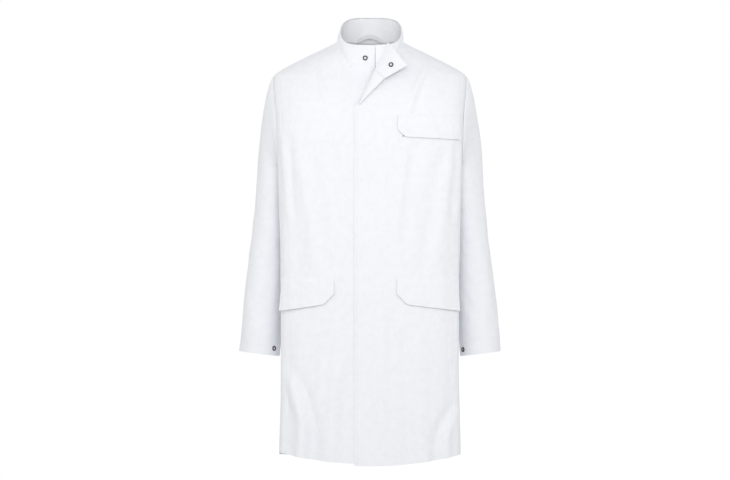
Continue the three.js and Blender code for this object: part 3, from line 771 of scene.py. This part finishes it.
# %% Pocket flaps
CHEST_FLAP = dict(inner=66, outer=214, top=840, side=804, cut=17, low=786, end=780)
LEFT_HIP_FLAP = dict(inner=64, outer=209, top=449, side=411, cut=24, low=386, end=371)
RIGHT_HIP_FLAP = dict(inner=86, outer=209, top=449, side=411, cut=24, low=386, end=371)
FLAP_CLOTH, FLAP_LIFT, SEWN_IN, CORNER_SOFTNESS = 1.8, 1.1, 1.9, 3.0


def flap_edge(x, flap):
    corner = flap["inner"] + flap["cut"]
    cut = flap["side"] + (flap["low"] - flap["side"]) * (x - flap["inner"]) / flap["cut"]
    level = flap["low"] + (flap["end"] - flap["low"]) * (x - corner) / (flap["outer"] - corner)
    return (cut + level + np.sqrt((cut - level) ** 2 + CORNER_SOFTNESS**2)) / 2


def flap_across(u, flap):
    return flap["inner"] + (flap["outer"] - flap["inner"]) * (1 - (1 - u) ** 1.45)


def flap_points(side, flap, bow, flare, u, v):
    """u runs outwards along the flap and v up it; only the top is sewn to the coat."""
    x = flap_across(u, flap)
    low = flap_edge(x, flap)
    z = low + (flap["top"] - low) * v
    hang = bow * (1 - v) ** 2 + flare * u**4 * (1 - v) + 0.5 * waves(x / 23 + 7, z / 19) * (1 - v)
    sewn = SEWN_IN * smoothstep(v, 0.86, 1.0)
    return surface(angle_at(side * x, z), z, sewn - (FLAP_LIFT + FLAP_CLOTH) - hang)


def flap_bending(side, flap, carrier, body):
    return bending(carrier, body, side * 140, -150, flap["top"] - 1, flap["top"] - 11)


FLAPS = [
    ("chest", 1, CHEST_FLAP, 1.5, 1.0, "torso", "chest_flap"),
    ("left_hip", 1, LEFT_HIP_FLAP, 1.9, 3.0, "left_front", "left_hip_flap"),
    ("right_hip", -1, RIGHT_HIP_FLAP, 2.6, 5.0, "right_front", "right_hip_flap"),
]
for name, side, flap, bow, flare, carrier, body in FLAPS:
    points = flap_points(side, flap, bow, flare, *grid(90, 34))
    piece = cloth(name + "_flap_cloth", points, FLAP_CLOTH, by_place=True)
    bevel = piece.modifiers.new("soft_edge", "BEVEL")
    bevel.width, bevel.segments, bevel.limit_method = 0.0006, 2, "ANGLE"
    bevel.angle_limit = math.radians(60)
    lifting = flap_bending(side, flap, carrier, body)
    finish_cloth(piece, coat_twill, "coat_cloth", lifting, name + "_pocket_flap")
print("flaps:", [f[0] for f in FLAPS])


# %% Pocket bags
def bag_points(side, flap, depth, under, columns=72, rows=40):
    """A flat pouch round its own middle, narrowing to a closed foot."""
    turn, v = grid(columns + 1, rows)
    turn = 2 * np.pi * turn[:, :-1]
    v = v[:, :-1]
    left, right = flap["inner"] + 8, flap["outer"] - 12
    top = flap["top"] - 14
    z = top - 6 - depth + (depth + 6) * v
    full = np.sqrt(np.clip(v * 5, 0.03, 1))
    x = (left + right) / 2 + (right - left) / 2 * np.sign(np.cos(turn)) * np.abs(np.cos(turn)) ** 0.5
    spread = 11.0 * full * np.clip(1 - 0.35 * v, 0, 1)
    inset = 3.2 + spread / 2 + spread / 2 * np.sin(turn) + under(x)
    return surface(angle_at(side * x, z), z, inset)


def no_layer(x):
    return 0 * x


def right_layer(x):
    return LAYER_STEP * under_share(-x)


BAGS = [
    ("chest", 1, CHEST_FLAP, 130, no_layer, LEFT_SWING),
    ("left_hip", 1, LEFT_HIP_FLAP, 190, no_layer, "left_front"),
    ("right_hip", -1, RIGHT_HIP_FLAP, 190, right_layer, "right_front"),
]
for name, side, flap, depth, under, follows in BAGS:
    points = bag_points(side, flap, depth, under)
    middle = points.reshape(-1, 3).mean(0)
    pouch = cloth(name + "_bag_cloth", points, 0.5, axis=(middle[0], middle[1]), wrap=True)
    finish_cloth(pouch, lining_twill_painted_bright, "lining_cloth", follows, name + "_pocket_bag")
print("bags hang", [b[3] for b in BAGS], "mm deep")

# %% [markdown]
# A stand collar is two layers sewn together at the top and turned. Its outer
# layer rolls over the top edge, which gives the soft rounded rim, and the lining
# stays a little below it on the inside. It leans in towards the neck and rises
# from the front to the back.

# %% The collar
collar_to_neck = smooth_curve([(0, 0), (32.5, 11.7), (39.6, 15.6), (52, 25.4), (64, 46), (77, 64),
                               (90, 90), (135, 135), (180, 180)])
RIM_RADIUS = 1.7
TOP_HALF, TOP_WIDER, TOP_MIDDLE, TOP_DEPTH = 73, 6, -9, 69
TOP_FRONT, TOP_CLIMB = 1006, 72


def from_neck(turn):
    """The level way out from the neck; turn 0 is the front."""
    return np.stack([np.sin(turn), -np.cos(turn), 0 * turn], -1)


def collar_point(angle, share, inset, roll=0.0):
    """A point up the collar; roll from 0 to 1 carries it over the rim to the inside."""
    share = np.asarray(share, float)
    below = collar_to_neck(np.abs(angle)) * np.sign(angle)
    seam_z = neck_seam(np.abs(below))
    base = outline(below, seam_z)
    under = np.where((angle > -90) & (angle < 9.5), LAYER_STEP * under_share(base[..., 0]), 0)
    base = base - outward(below, seam_z) * under[..., None]
    base[..., 2] += 2.2 * smoothstep(share, 0.0, 0.12) - 1.6
    turn = np.radians(angle)
    climb = smoothstep((1 - np.cos(turn)) / 2, 0, 1)
    half_top = TOP_HALF + TOP_WIDER * smoothstep(np.sin(turn), 0, 1)
    deep = TOP_MIDDLE - TOP_DEPTH * np.cos(turn)
    top = np.stack([half_top * np.sin(turn), deep, TOP_FRONT + TOP_CLIMB * climb], -1)
    loose = share * (1 - smoothstep(np.abs(angle), 145, 178))
    bow = 1.4 * np.sin(np.pi * share) + 0.8 * waves(angle / 21 + 2, share * 2 + 5) * loose
    tuck = 0.3 * (1 - smoothstep(share, 0.0, 0.1))
    in_or_out = bow + tuck - inset - RIM_RADIUS * (1 - np.cos(np.pi * roll))
    point = base + (top - base) * share[..., None] + from_neck(turn) * in_or_out[..., None]
    point[..., 2] += RIM_RADIUS * np.sin(np.pi * roll) + 0.7 * waves(angle / 26 + 9, share + 30) * loose
    return point


def collar_points(low_angle, high_angle, columns=130):
    rows_up, rows_over = 40, 9
    share = np.concatenate([np.linspace(0, 1, rows_up), np.ones(rows_over)])
    roll = np.concatenate([np.zeros(rows_up), np.linspace(0.1, 0.95, rows_over)])
    angle = np.linspace(low_angle, high_angle, columns)
    angle, share = np.meshgrid(angle, share)
    return collar_point(angle, share, 0.0, roll[:, None] + 0 * angle)


def collar_lining_points(low_angle, high_angle, columns=110):
    u, v = grid(columns, 30)
    return collar_point(low_angle + (high_angle - low_angle) * u, 0.05 + 0.92 * v, 2.5)


for name, ends, lining_ends in (("right", (-180.0, 9.1), (-180.0, 8.1)),
                                ("left", (9.8, 180.0), (10.8, 180.0))):
    outer = cloth("collar_" + name + "_cloth", collar_points(*ends), 1.1)
    finish_cloth(outer, coat_twill, "coat_cloth", "torso", "collar_" + name)
    inner = cloth("collar_" + name + "_lining_cloth", collar_lining_points(*lining_ends), 0.8)
    finish_cloth(inner, lining_twill_painted_bright, "lining_cloth", "torso", "collar_" + name + "_lining")
    print("collar", name, "runs from", ends[0], "to", ends[1], "degrees")

# %% [markdown]
# The wearer's left end of the collar and the corner of the front below it are
# turned back along one slanting fold, so the inside shows as a lapel. The fold is
# a soft roll and not a crease: the cloth leaves the front, turns round a radius
# of a few millimetres and lies back over itself, arching slightly up to its tip.

# %% The turned-back lapel
LAPEL_TIP = np.array([88.0, -104.0, 958.0])
SEAM_SHARE = 0.444
fold_way = (FOLD_FOOT - FOLD_TOP) / np.linalg.norm(FOLD_FOOT - FOLD_TOP)
lapel_out = np.cross(FOLD_FOOT - FOLD_TOP, LAPEL_TIP - FOLD_TOP)
lapel_out = lapel_out / np.linalg.norm(lapel_out)
lapel_out = lapel_out if lapel_out[1] < 0 else -lapel_out
lapel_side = np.cross(lapel_out, fold_way)
lapel_side = lapel_side if lapel_side[0] > 0 else -lapel_side


def on_lapel(x, z):
    """The point of the lapel's plane at that x and z."""
    drop = lapel_out[0] * (x - FOLD_TOP[0]) + lapel_out[2] * (z - FOLD_TOP[2])
    return np.array([x, FOLD_TOP[1] - drop / lapel_out[1], z])


LAPEL_NOTCH = on_lapel(34.0, 926.0)


def lapel_point(s, t):
    """s runs down the fold, t from the fold (0) to the free edge (1); t below 0 is the roll."""
    s, t = np.asarray(s, float)[..., None], np.asarray(t, float)[..., None]
    fold_line = FOLD_TOP + (FOLD_FOOT - FOLD_TOP) * s
    upper = LAPEL_TIP + (LAPEL_NOTCH - LAPEL_TIP) * np.clip(s / SEAM_SHARE, 0, 1)
    lower = LAPEL_NOTCH + (FOLD_FOOT - LAPEL_NOTCH) * np.clip((s - SEAM_SHARE) / (1 - SEAM_SHARE), 0, 1)
    edge = np.where(s < SEAM_SHARE, upper, lower)
    width = np.linalg.norm(edge - fold_line, axis=-1, keepdims=True)
    reach = np.clip(t, 0, 1)
    arch = 0.10 * width * np.sin(np.pi * reach) * (1 - 0.3 * reach) - 0.02 * width * reach**3
    ripple = 0.9 * waves(s[..., 0] * 5 + 3, reach[..., 0] * 3 + 8)[..., None] * reach
    flat = fold_line + (edge - fold_line) * reach + lapel_out * (arch + ripple)
    radius = 2.2 * (1 - 0.7 * smoothstep(s, 0.88, 1.0))
    turn = np.pi * np.clip(-t, 0, 1)
    roll = -lapel_side * radius * np.sin(turn) - lapel_out * radius * (1 - np.cos(turn))
    return flat + np.where(t < 0, roll, 0)


def lapel_points(low_s, high_s, rows):
    roll = np.linspace(-1, 0, 12)
    flat = np.linspace(0, 1, 46)[1:]
    t, s = np.meshgrid(np.concatenate([roll, flat]), np.linspace(low_s, high_s, rows))
    return lapel_point(s, t)


hinge_middle = (FOLD_TOP + FOLD_FOOT) / 2
turned_side = hinge_middle + 12 * lapel_side
LAPEL_TURN = ("torso", "lapel", tuple(in_frame(hinge_middle)), tuple(in_frame(turned_side)))
LAPEL_CLOTH, BEHIND_LAPEL = 1.3, (20.0, 400.0)
for name, low_s, high_s, rows in (("lapel_collar_end", 0.0, SEAM_SHARE - 0.0015, 46),
                                  ("lapel_front_corner", SEAM_SHARE + 0.0015, 0.995, 56)):
    points = lapel_points(low_s, high_s, rows)
    turned_end = cloth(name + "_cloth", points, LAPEL_CLOTH, BEHIND_LAPEL, by_place=True)
    finish_cloth(turned_end, coat_twill, "coat_cloth", LAPEL_TURN, name)
print("the fold line is", round(float(np.linalg.norm(FOLD_FOOT - FOLD_TOP))), "mm long")

# %% [markdown]
# A set-in sleeve begins at the armhole, turns over the shoulder and hangs as a
# tube that is wider at the elbow than at the wrist. One grid runs from the cuff to
# the armhole seam, so no join shows at the elbow or underarm. Sleeves crease
# across the inside of the elbow and twist a little, and that is added as a height
# over the tube in the same way as on the coat's body.

# %% The sleeves
CUFF_FOOT, CUFF_RISE, SLEEVE_TOP = 260, 12, 713
SLEEVE = np.array([
    # height, outer edge, half width across, middle, half width front to back
    (260, 317, 49.5, 12, 52),
    (335, 311, 49, 16, 53),
    (420, 303, 48, 22, 54),
    (530, 289, 46, 30, 55),
    (635, 278, 46, 36, 57),
    (713, 272, 47, 38, 58),
])
sleeve_outer, sleeve_across, sleeve_middle, sleeve_depth = (
    smooth_curve(SLEEVE[:, [0, k]]) for k in range(1, 5)
)


def sleeve_ring(turn, z, inset=0.0):
    """turn 0 is the outer side and a quarter turn is the front."""
    across, depth = sleeve_across(z), sleeve_depth(z)
    x = sleeve_outer(z) - across + (across - inset) * np.cos(turn)
    y = sleeve_middle(z) - (depth - inset) * np.sin(turn)
    return np.stack([x, y, z + 0 * turn], -1)


def from_arm(turn, climb=0.0):
    """The way out from the arm; turn 0 is the outer side."""
    return np.stack([np.cos(turn), -np.sin(turn), climb + 0 * turn], -1)


def cuff_height(turn):
    return CUFF_FOOT + CUFF_RISE * (1 + np.cos(turn)) / 2


def sleeve_crease(turn, z, seed):
    slow = 2.0 * waves(seed + 3 + 1.5 * np.cos(turn), z / 120 + 1.5 * np.sin(turn))
    quick = 0.8 * waves(seed + 20 + 2.6 * np.cos(turn) + z / 160, z / 34 + 2.6 * np.sin(turn))
    elbow = np.exp(-(((z - 545) / 75) ** 2)) * 1.5 * np.sin((z - 24 * np.cos(turn - 0.6)) / 12.5)
    inner = 0.35 + 0.65 * smoothstep(-np.cos(turn - 0.5), -0.2, 0.9)
    cuff_calm = smoothstep(z, 262, 305)
    return (slow + quick + elbow * inner) * (0.25 + 0.75 * cuff_calm)


def armhole_point(turn):
    low = (1 - np.cos(turn)) / 2
    z = ARMHOLE_TOP - (ARMHOLE_TOP - ARMHOLE_FOOT) * low
    angle = np.where(turn <= np.pi, 90.0, armhole_back(z))
    point = outline(angle, z) + 0.6 * outward(angle, z)
    point[..., 0] += 0.5
    return point


def sleeve_points(seed, inset=0.0, low_cut=None, columns=128):
    turn = np.linspace(0, 2 * np.pi, columns + 1)[:-1]
    ring_turn = turn - 0.8 * np.sin(turn / 2) ** 2
    cuff = cuff_height(ring_turn)
    low, high = (0, SLEEVE_TOP - cuff) if low_cut is None else low_cut
    z = cuff + low + (high - low) * np.linspace(0, 1, 150)[:, None]
    tube = sleeve_ring(ring_turn + 0 * z, z, inset)
    if low_cut is None:
        tube = tube[:-1]
    middle = sleeve_ring(0 * tube[..., 0], tube[..., 2])
    middle[..., 0] -= sleeve_across(tube[..., 2])
    out = unit((tube - middle) * np.array([1, 1, 0]))
    tube = tube + out * sleeve_crease(ring_turn + 0 * tube[..., 0], tube[..., 2], seed)[..., None]
    if low_cut is not None:
        return tube
    upper = (1 + np.cos(turn)) / 2
    t = (1 - np.linspace(0, 1, 72)[:, None]) + 0 * turn
    start, end = armhole_point(turn), sleeve_ring(ring_turn, np.full_like(turn, SLEEVE_TOP + 0.4))
    end_out = unit((end - middle[-1]) * np.array([1, 1, 0]))
    end = end + end_out * sleeve_crease(ring_turn, np.full_like(turn, SLEEVE_TOP), seed)[..., None]
    pull, push = 14 + 58 * upper, 8 + 122 * upper
    cap = start * ((1 + 2 * t) * (1 - t) ** 2)[..., None] + end * (t**2 * (3 - 2 * t))[..., None]
    cap += np.array([0.86, 0, -0.5]) * (t * (1 - t) ** 2 * pull)[..., None]
    cap += np.array([0, 0, 1.0]) * (t**2 * (1 - t) * push)[..., None]
    height = 1.2 * np.sin(np.pi * t) * waves(seed + 30 + 2 * np.cos(turn), t * 4 + 2 * np.sin(turn))
    cap += unit(from_arm(turn, 0.4)) * height[..., None]
    return np.concatenate([tube, cap])


def sided(points, side):
    return points * np.array([side, 1.0, 1.0])


SIDES = (("left", 1, LEFT_RAISE, 5), ("right", -1, RIGHT_RAISE, 17))
for name, side, raising, seed in SIDES:
    points = sided(sleeve_points(seed), side)
    sleeve = cloth(name + "_sleeve_cloth", points, CLOTH, axis=(side * 245, 30), wrap=True)
    finish_cloth(sleeve, coat_twill, "coat_cloth", raising, name + "_sleeve", name + "_sleeve_cap")
    turned = sided(sleeve_points(seed, 2.1, (1.5, 29.5))[::12], side)
    cuff = cloth(name + "_cuff_hem_cloth", turned, HEM_CLOTH, axis=(side * 265, 12), wrap=True)
    finish_cloth(cuff, coat_twill, "coat_cloth", name + "_arm", name + "_cuff_hem")
print("sleeve grid:", sleeve_points(5).shape)

# %% [markdown]
# A hanger loop of herringbone tape stands off the inside of the collar at the
# back, and below it a plain woven label is sewn flat to the cloth.

# %% Loop and label
LOOP_WIDTH, LOOP_HEIGHT, LOOP_FOOT, LOOP_GAP, LOOP_RISE = 60, 10.4, 1015.8, 8.2, 12
LABEL_WIDTH, LABEL_HEIGHT, LABEL_LEFT, LABEL_TOP = 66, 26, -38, 1007


def loop_points(columns=60):
    u, v = grid(columns, 7)
    swell = np.sin(np.pi * u)
    x = (u - 0.5) * LOOP_WIDTH
    aside = np.degrees(np.arcsin(np.abs(x) / 80))
    bare = collar_point(180 - aside, 0.2 + 0 * u, 3.4)[..., 1]
    z = LOOP_FOOT + LOOP_RISE * swell + LOOP_HEIGHT * v
    return np.stack([x, bare - 2.4 - LOOP_GAP * swell, z], -1)


def label_points(columns=30):
    u, v = grid(columns, 12)
    x, z = LABEL_LEFT + LABEL_WIDTH * u, LABEL_TOP - LABEL_HEIGHT * (1 - v)
    return surface(180 - angle_at(x, z), z, 2.6)


INNER_SIDE = (0.0, 200.0)
loop = cloth("hanger_loop_tape", loop_points(), 1.0, INNER_SIDE, by_place=True)
finish_cloth(loop, tape_weave, "tape", "torso", "hanger_loop")
label = cloth("neck_label_cloth", label_points(), 0.5, INNER_SIDE, by_place=True)
finish_cloth(label, label_weave, "label_cloth", "torso", "neck_label")
print("the loop stands off by", LOOP_GAP, "mm in the middle")

# %% [markdown]
# A ring snap is a pressed metal ring with cloth showing through its middle. The
# hidden halves are a cup and a knob. All are turned shapes: a profile spun round
# an axis, which the Screw modifier also does, but building the rings of points
# directly places each snap square to its cloth in one step.

# %% Snaps
RING = [(3.3, -0.4), (3.3, 0.9), (3.7, 1.55), (4.4, 1.9), (5.2, 1.75), (5.8, 1.15), (6.0, 0.3),
        (6.0, -0.4)]
CUP = [(0.01, 0.1), (1.2, 0.1), (1.6, 0.9), (2.3, 1.15), (3.6, 1.1), (5.0, 0.8), (5.5, 0.3),
       (5.5, -0.1), (0.01, -0.1)]
KNOB = [(0.01, 1.7), (1.0, 1.6), (1.35, 1.2), (1.1, 0.6), (2.6, 0.55), (4.0, 0.4), (4.5, 0.1),
        (4.5, -0.1), (0.01, -0.1)]


def snap(name, profile, place, facing, node, follows, size=1.0):
    facing = unit(np.asarray(facing, float))
    first = unit(np.cross(facing, [0.0, 0.0, 1.0]))
    second = np.cross(facing, first)
    turn = np.linspace(0, 2 * np.pi, 49)[:-1]
    radius, height = np.array(profile).T * size
    around = first * np.cos(turn)[:, None] + second * np.sin(turn)[:, None]
    points = place + radius[:, None, None] * around[None] + height[:, None, None] * facing
    rows, columns = points.shape[:2]
    a = np.arange(columns)
    b = (a + 1) % columns
    faces = []
    for j in range(rows):
        k = (j + 1) % rows
        corners = (j * columns + a, j * columns + b, k * columns + b, k * columns + a)
        faces += np.stack(corners, 1).tolist()
    piece = new_piece(name, points.reshape(-1, 3), faces, 50)
    piece.data.materials.append(plated)
    follow(piece, follows)
    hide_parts(node)


SNAP_HEIGHTS, SNAP_X, SOCKET_INSET, STUD_INSET = (838.0, 700.0, 560.0, 420.0, 280.0), -12.0, 4.4, 6.2
for number, z in enumerate(SNAP_HEIGHTS, start=1):
    angle = np.array(angle_at(SNAP_X, z))
    facing = outward(angle, z)
    left_rule, right_rule = ("torso", "torso") if number == 1 else (LEFT_SWING, RIGHT_SWING)
    socket, stud = f"fly_socket_{number}", f"fly_stud_{number}"
    snap(socket + "_metal", CUP, surface(angle, z, SOCKET_INSET), facing, socket, left_rule, 0.98)
    snap(stud + "_metal", KNOB, surface(angle, z, STUD_INSET), facing, stud, right_rule, 0.75)


def stud_spot(aside=0.0, up=0.0, inset=0.0):
    """The collar's stud, or a point so many degrees aside of it and so much further up."""
    return collar_point(np.array(-8.6 + aside), np.array(0.55 + up), inset)


stud_facing = np.cross(stud_spot(2) - stud_spot(-2), stud_spot(up=0.15) - stud_spot(up=-0.15))
snap("collar_stud_metal", RING, stud_spot(inset=-0.3), stud_facing, "collar_stud", "torso")


def nearest_on_lapel(x, z):
    s, t = np.meshgrid(np.linspace(0, SEAM_SHARE, 160), np.linspace(0, 1, 160))
    points = lapel_point(s, t)
    off = (points[..., 0] - x) ** 2 + (points[..., 2] - z) ** 2
    return points.reshape(-1, 3)[int(np.argmin(off))]


lapel_spot = nearest_on_lapel(50, 959) + 0.3 * lapel_out
snap("lapel_socket_metal", RING, lapel_spot, lapel_out, "lapel_socket", "lapel")
CUFF_SNAPS = {"left": (2.58, 276.0), "right": (2.37, 279.0)}
for name, side, raising, seed in SIDES:
    turn, z = (np.array(value) for value in CUFF_SNAPS[name])
    out = sided(np.array([np.cos(turn) / 49, -np.sin(turn) / 52, 0.0]), side)
    crease = float(sleeve_crease(turn, z, seed))
    outside, inside = (sided(sleeve_ring(turn, z, inset - crease), side) for inset in (-0.3, 4.2))
    snap(name + "_cuff_socket_metal", RING, outside, out, name + "_cuff_socket", name + "_arm")
    snap(name + "_cuff_stud_metal", KNOB, inside, -out, name + "_cuff_stud", name + "_arm", 0.8)

# %% [markdown]
# Now the stitching. Closures, hems, pocket flaps, collar and armholes are all
# topstitched a few millimetres from their edges. Each row follows the same
# formula as the cloth that it holds, and is fastened the same way as that cloth.

# %% Stitching on the fronts and back
def upright(x, low_z, high_z, inset=0.0):
    z = np.linspace(low_z, high_z, 400)
    return on_surface(angle_at(x, z), z, inset)


def round_hem(low_angle, high_angle, lift, inset=0.0):
    angle = np.linspace(low_angle, high_angle, 400)
    return on_surface(angle, hem_height(angle) + lift, inset)


FLY_ROW_X, FLY_ROW_SWAY = 38, 4
fly_z = np.linspace(24, 858, 500)
fly_x = FLY_ROW_X + FLY_ROW_SWAY * smoothstep(fly_z, 480, 620) * (1 - smoothstep(fly_z, 720, 800))
stitch_row("fly_stitching", on_surface(angle_at(fly_x, fly_z), fly_z), LEFT_SWING)
edge_line = upright(OVERLAP_EDGE + 6, 6, 852, edge_roll(OVERLAP_EDGE + 6))
stitch_row("overlap_edge_stitching", edge_line, LEFT_SWING)
stitch_row("underlap_edge_stitching", upright(UNDERLAP_EDGE - 6, 12, 900, LAYER_STEP), RIGHT_SWING)
stitch_row("left_hem_stitching", round_hem(-8, 89, 23), LEFT_SWING)
right_turn = np.linspace(-89, 2, 400)
right_layer_inset = LAYER_STEP * under_share(outline(right_turn, 28.0 + 0 * right_turn)[:, 0])
right_hem_line = on_surface(right_turn, hem_height(right_turn) + 28, right_layer_inset)
stitch_row("right_hem_stitching", right_hem_line, RIGHT_SWING)
stitch_row("left_back_hem_stitching", round_hem(91, 179, 23), "torso")
stitch_row("right_back_hem_stitching", round_hem(-179, -91, 23), "torso")
BACK_SEAM_TURN = 179.9 - np.degrees(4 / 216.0)
for side, name in ((1, "left"), (-1, "right")):
    z = np.linspace(8, 1008, 500)
    stitch_row(name + "_back_seam_stitching", on_surface(side * BACK_SEAM_TURN + 0 * z, z), "torso")
    z = np.linspace(740, 930, 200)
    behind = on_surface(side * (armhole_back(z) + 2.2), z)
    stitch_row(name + "_armhole_back_stitching", behind, "torso")
    z = np.linspace(780, 930, 200)
    stitch_row(name + "_armhole_front_stitching", on_surface(side * 83.5 + 0 * z, z), "torso")


# %% Stitching on the flaps
def flap_line(side, flap, bow, flare, u, v):
    points = flap_points(side, flap, bow, flare, u, v)
    x, z = side * points[:, 0], points[:, 2]
    return points, outward(angle_at(side * x, z), z)


for name, side, flap, bow, flare, carrier, body in FLAPS:
    edge_u = np.linspace(0.012, 0.93, 260)
    height = flap["top"] - flap_edge(flap_across(edge_u, flap), flap)
    lifting = flap_bending(side, flap, carrier, body)
    for row_name, v in (("lower", 5.5 / height), ("upper", 1 - 5.0 / height)):
        line = flap_line(side, flap, bow, flare, edge_u, v)
        stitch_row(f"{name}_flap_{row_name}_stitching", line, lifting)


# %% Stitching on the collar, lapel and cuffs
def collar_line(low_angle, high_angle, share):
    angle = np.linspace(low_angle, high_angle, 300)
    turn = np.radians(angle)
    return collar_point(angle, share + 0 * angle, 0.0), from_neck(turn)


for name, low_angle, high_angle in (("right", -179, 6.5), ("left", 12, 179)):
    stitch_row(f"collar_{name}_top_stitching", collar_line(low_angle, high_angle, 0.9), "torso")
    stitch_row(f"collar_{name}_foot_stitching", collar_line(low_angle, high_angle, 0.05), "torso")

tip_s = np.linspace(0.05, SEAM_SHARE - 0.01, 120)
corner_s = np.linspace(SEAM_SHARE + 0.01, 0.93, 120)
for name, s in (("tip", tip_s), ("corner", corner_s)):
    points = lapel_point(s, 0 * s + 0.9)
    stitch_row(f"lapel_{name}_stitching", (points, lapel_out + 0 * points), LAPEL_TURN)
top_t = np.linspace(0.08, 0.9, 100)
points = lapel_point(0 * top_t + 0.06, top_t)
stitch_row("lapel_top_stitching", (points, lapel_out + 0 * points), LAPEL_TURN)
for name, side, raising, seed in SIDES:
    turn = np.linspace(0, 2 * np.pi, 400)
    cuff_z = cuff_height(turn) + 27
    crease = sleeve_crease(turn, cuff_z, seed)[:, None]
    points = sided(sleeve_ring(turn, cuff_z) + from_arm(turn) * crease, side)
    stitch_row(name + "_cuff_stitching", (points, sided(from_arm(turn), side)), name + "_arm")

# %% [markdown]
# White cloth on white needs soft light from all round, with a little more from
# the front, or the folds vanish. The world is white at the horizon, which also
# makes the page-white background, and dimmer overhead, so that level folds are
# shaded. A broad lamp in front lifts the chest, and a weak one from the upper
# left gives the folds their direction. The floor ends outside the picture.

# %% Floor, world and lamps
FLOOR_RADIUS, FLOOR_DROP = 4.0, 0.35
HORIZON_LIGHT, ZENITH_LIGHT = 1.01, 0.58


def pale_floor():
    mesh = bpy.data.meshes.new("floor")
    level = float(cad_low[2]) - FLOOR_DROP
    round_turn = np.linspace(0, 2 * np.pi, 129)[:-1]
    corners = [(FLOOR_RADIUS * float(np.cos(t)), FLOOR_RADIUS * float(np.sin(t)), level)
               for t in round_turn]
    mesh.from_pydata(corners, [], [tuple(range(len(corners)))])
    floor = bpy.data.objects.new("floor", mesh)
    bpy.context.scene.collection.objects.link(floor)
    material, nodes, links, skin = new_material("pale_floor")
    settle(skin, Base_Color=(0.8, 0.8, 0.8, 1), Roughness=1.0, Specular_IOR_Level=0.0)
    floor.data.materials.append(material)


def lamp(name, place, aim, size, power):
    data = bpy.data.lights.new(name, "AREA")
    data.shape, data.size, data.energy = "DISK", size, power
    light = bpy.data.objects.new(name, data)
    light.location = place
    light.rotation_euler = (Vector(aim) - Vector(place)).to_track_quat("-Z", "Y").to_euler()
    bpy.context.scene.collection.objects.link(light)


pale_floor()
world = bpy.data.worlds.new("studio")
bpy.context.scene.world = world
world.use_nodes = True
nodes, links = world.node_tree.nodes, world.node_tree.links
upwards, fall = nodes.new("ShaderNodeSeparateXYZ"), nodes.new("ShaderNodeMapRange")
links.new(nodes.new("ShaderNodeTexCoord").outputs["Generated"], upwards.inputs[0])
settle(fall, From_Min=0.12, From_Max=1.0, To_Min=HORIZON_LIGHT, To_Max=ZENITH_LIGHT)
links.new(upwards.outputs["Z"], fall.inputs["Value"])
settle(nodes["Background"], Color=(1, 1, 1, 1))
links.new(fall.outputs["Result"], nodes["Background"].inputs["Strength"])
lamp("front_lamp", (0.15, -3.0, 0.5), (0, 0, -0.3), 1.5, 27.5)
lamp("side_lamp", (-2.2, -1.8, 1.1), (0, -0.05, -0.4), 0.6, 3)
bpy.context.scene.view_settings.view_transform = "Standard"

# %% [markdown]
# The camera looks straight at the middle of the coat through a long lens from ten
# metres away, so that the collar and sleeves keep their size beside the front.

# %% Camera
CAMERA_DISTANCE = 10.0
FRAME_WIDTH = 1.752
camera_data = bpy.data.cameras.new("camera")
camera_data.sensor_width = 36.0
camera_data.lens = 36.0 * CAMERA_DISTANCE / FRAME_WIDTH
camera = bpy.data.objects.new("camera", camera_data)
centre = in_frame([-12.0, -60.0, 540.0])
camera.location = (centre[0], centre[1] - CAMERA_DISTANCE, centre[2])
camera.rotation_euler = (math.radians(90), 0, 0)
bpy.context.scene.collection.objects.link(camera)
bpy.context.scene.camera = camera
print("lens:", round(camera_data.lens, 1), "mm")
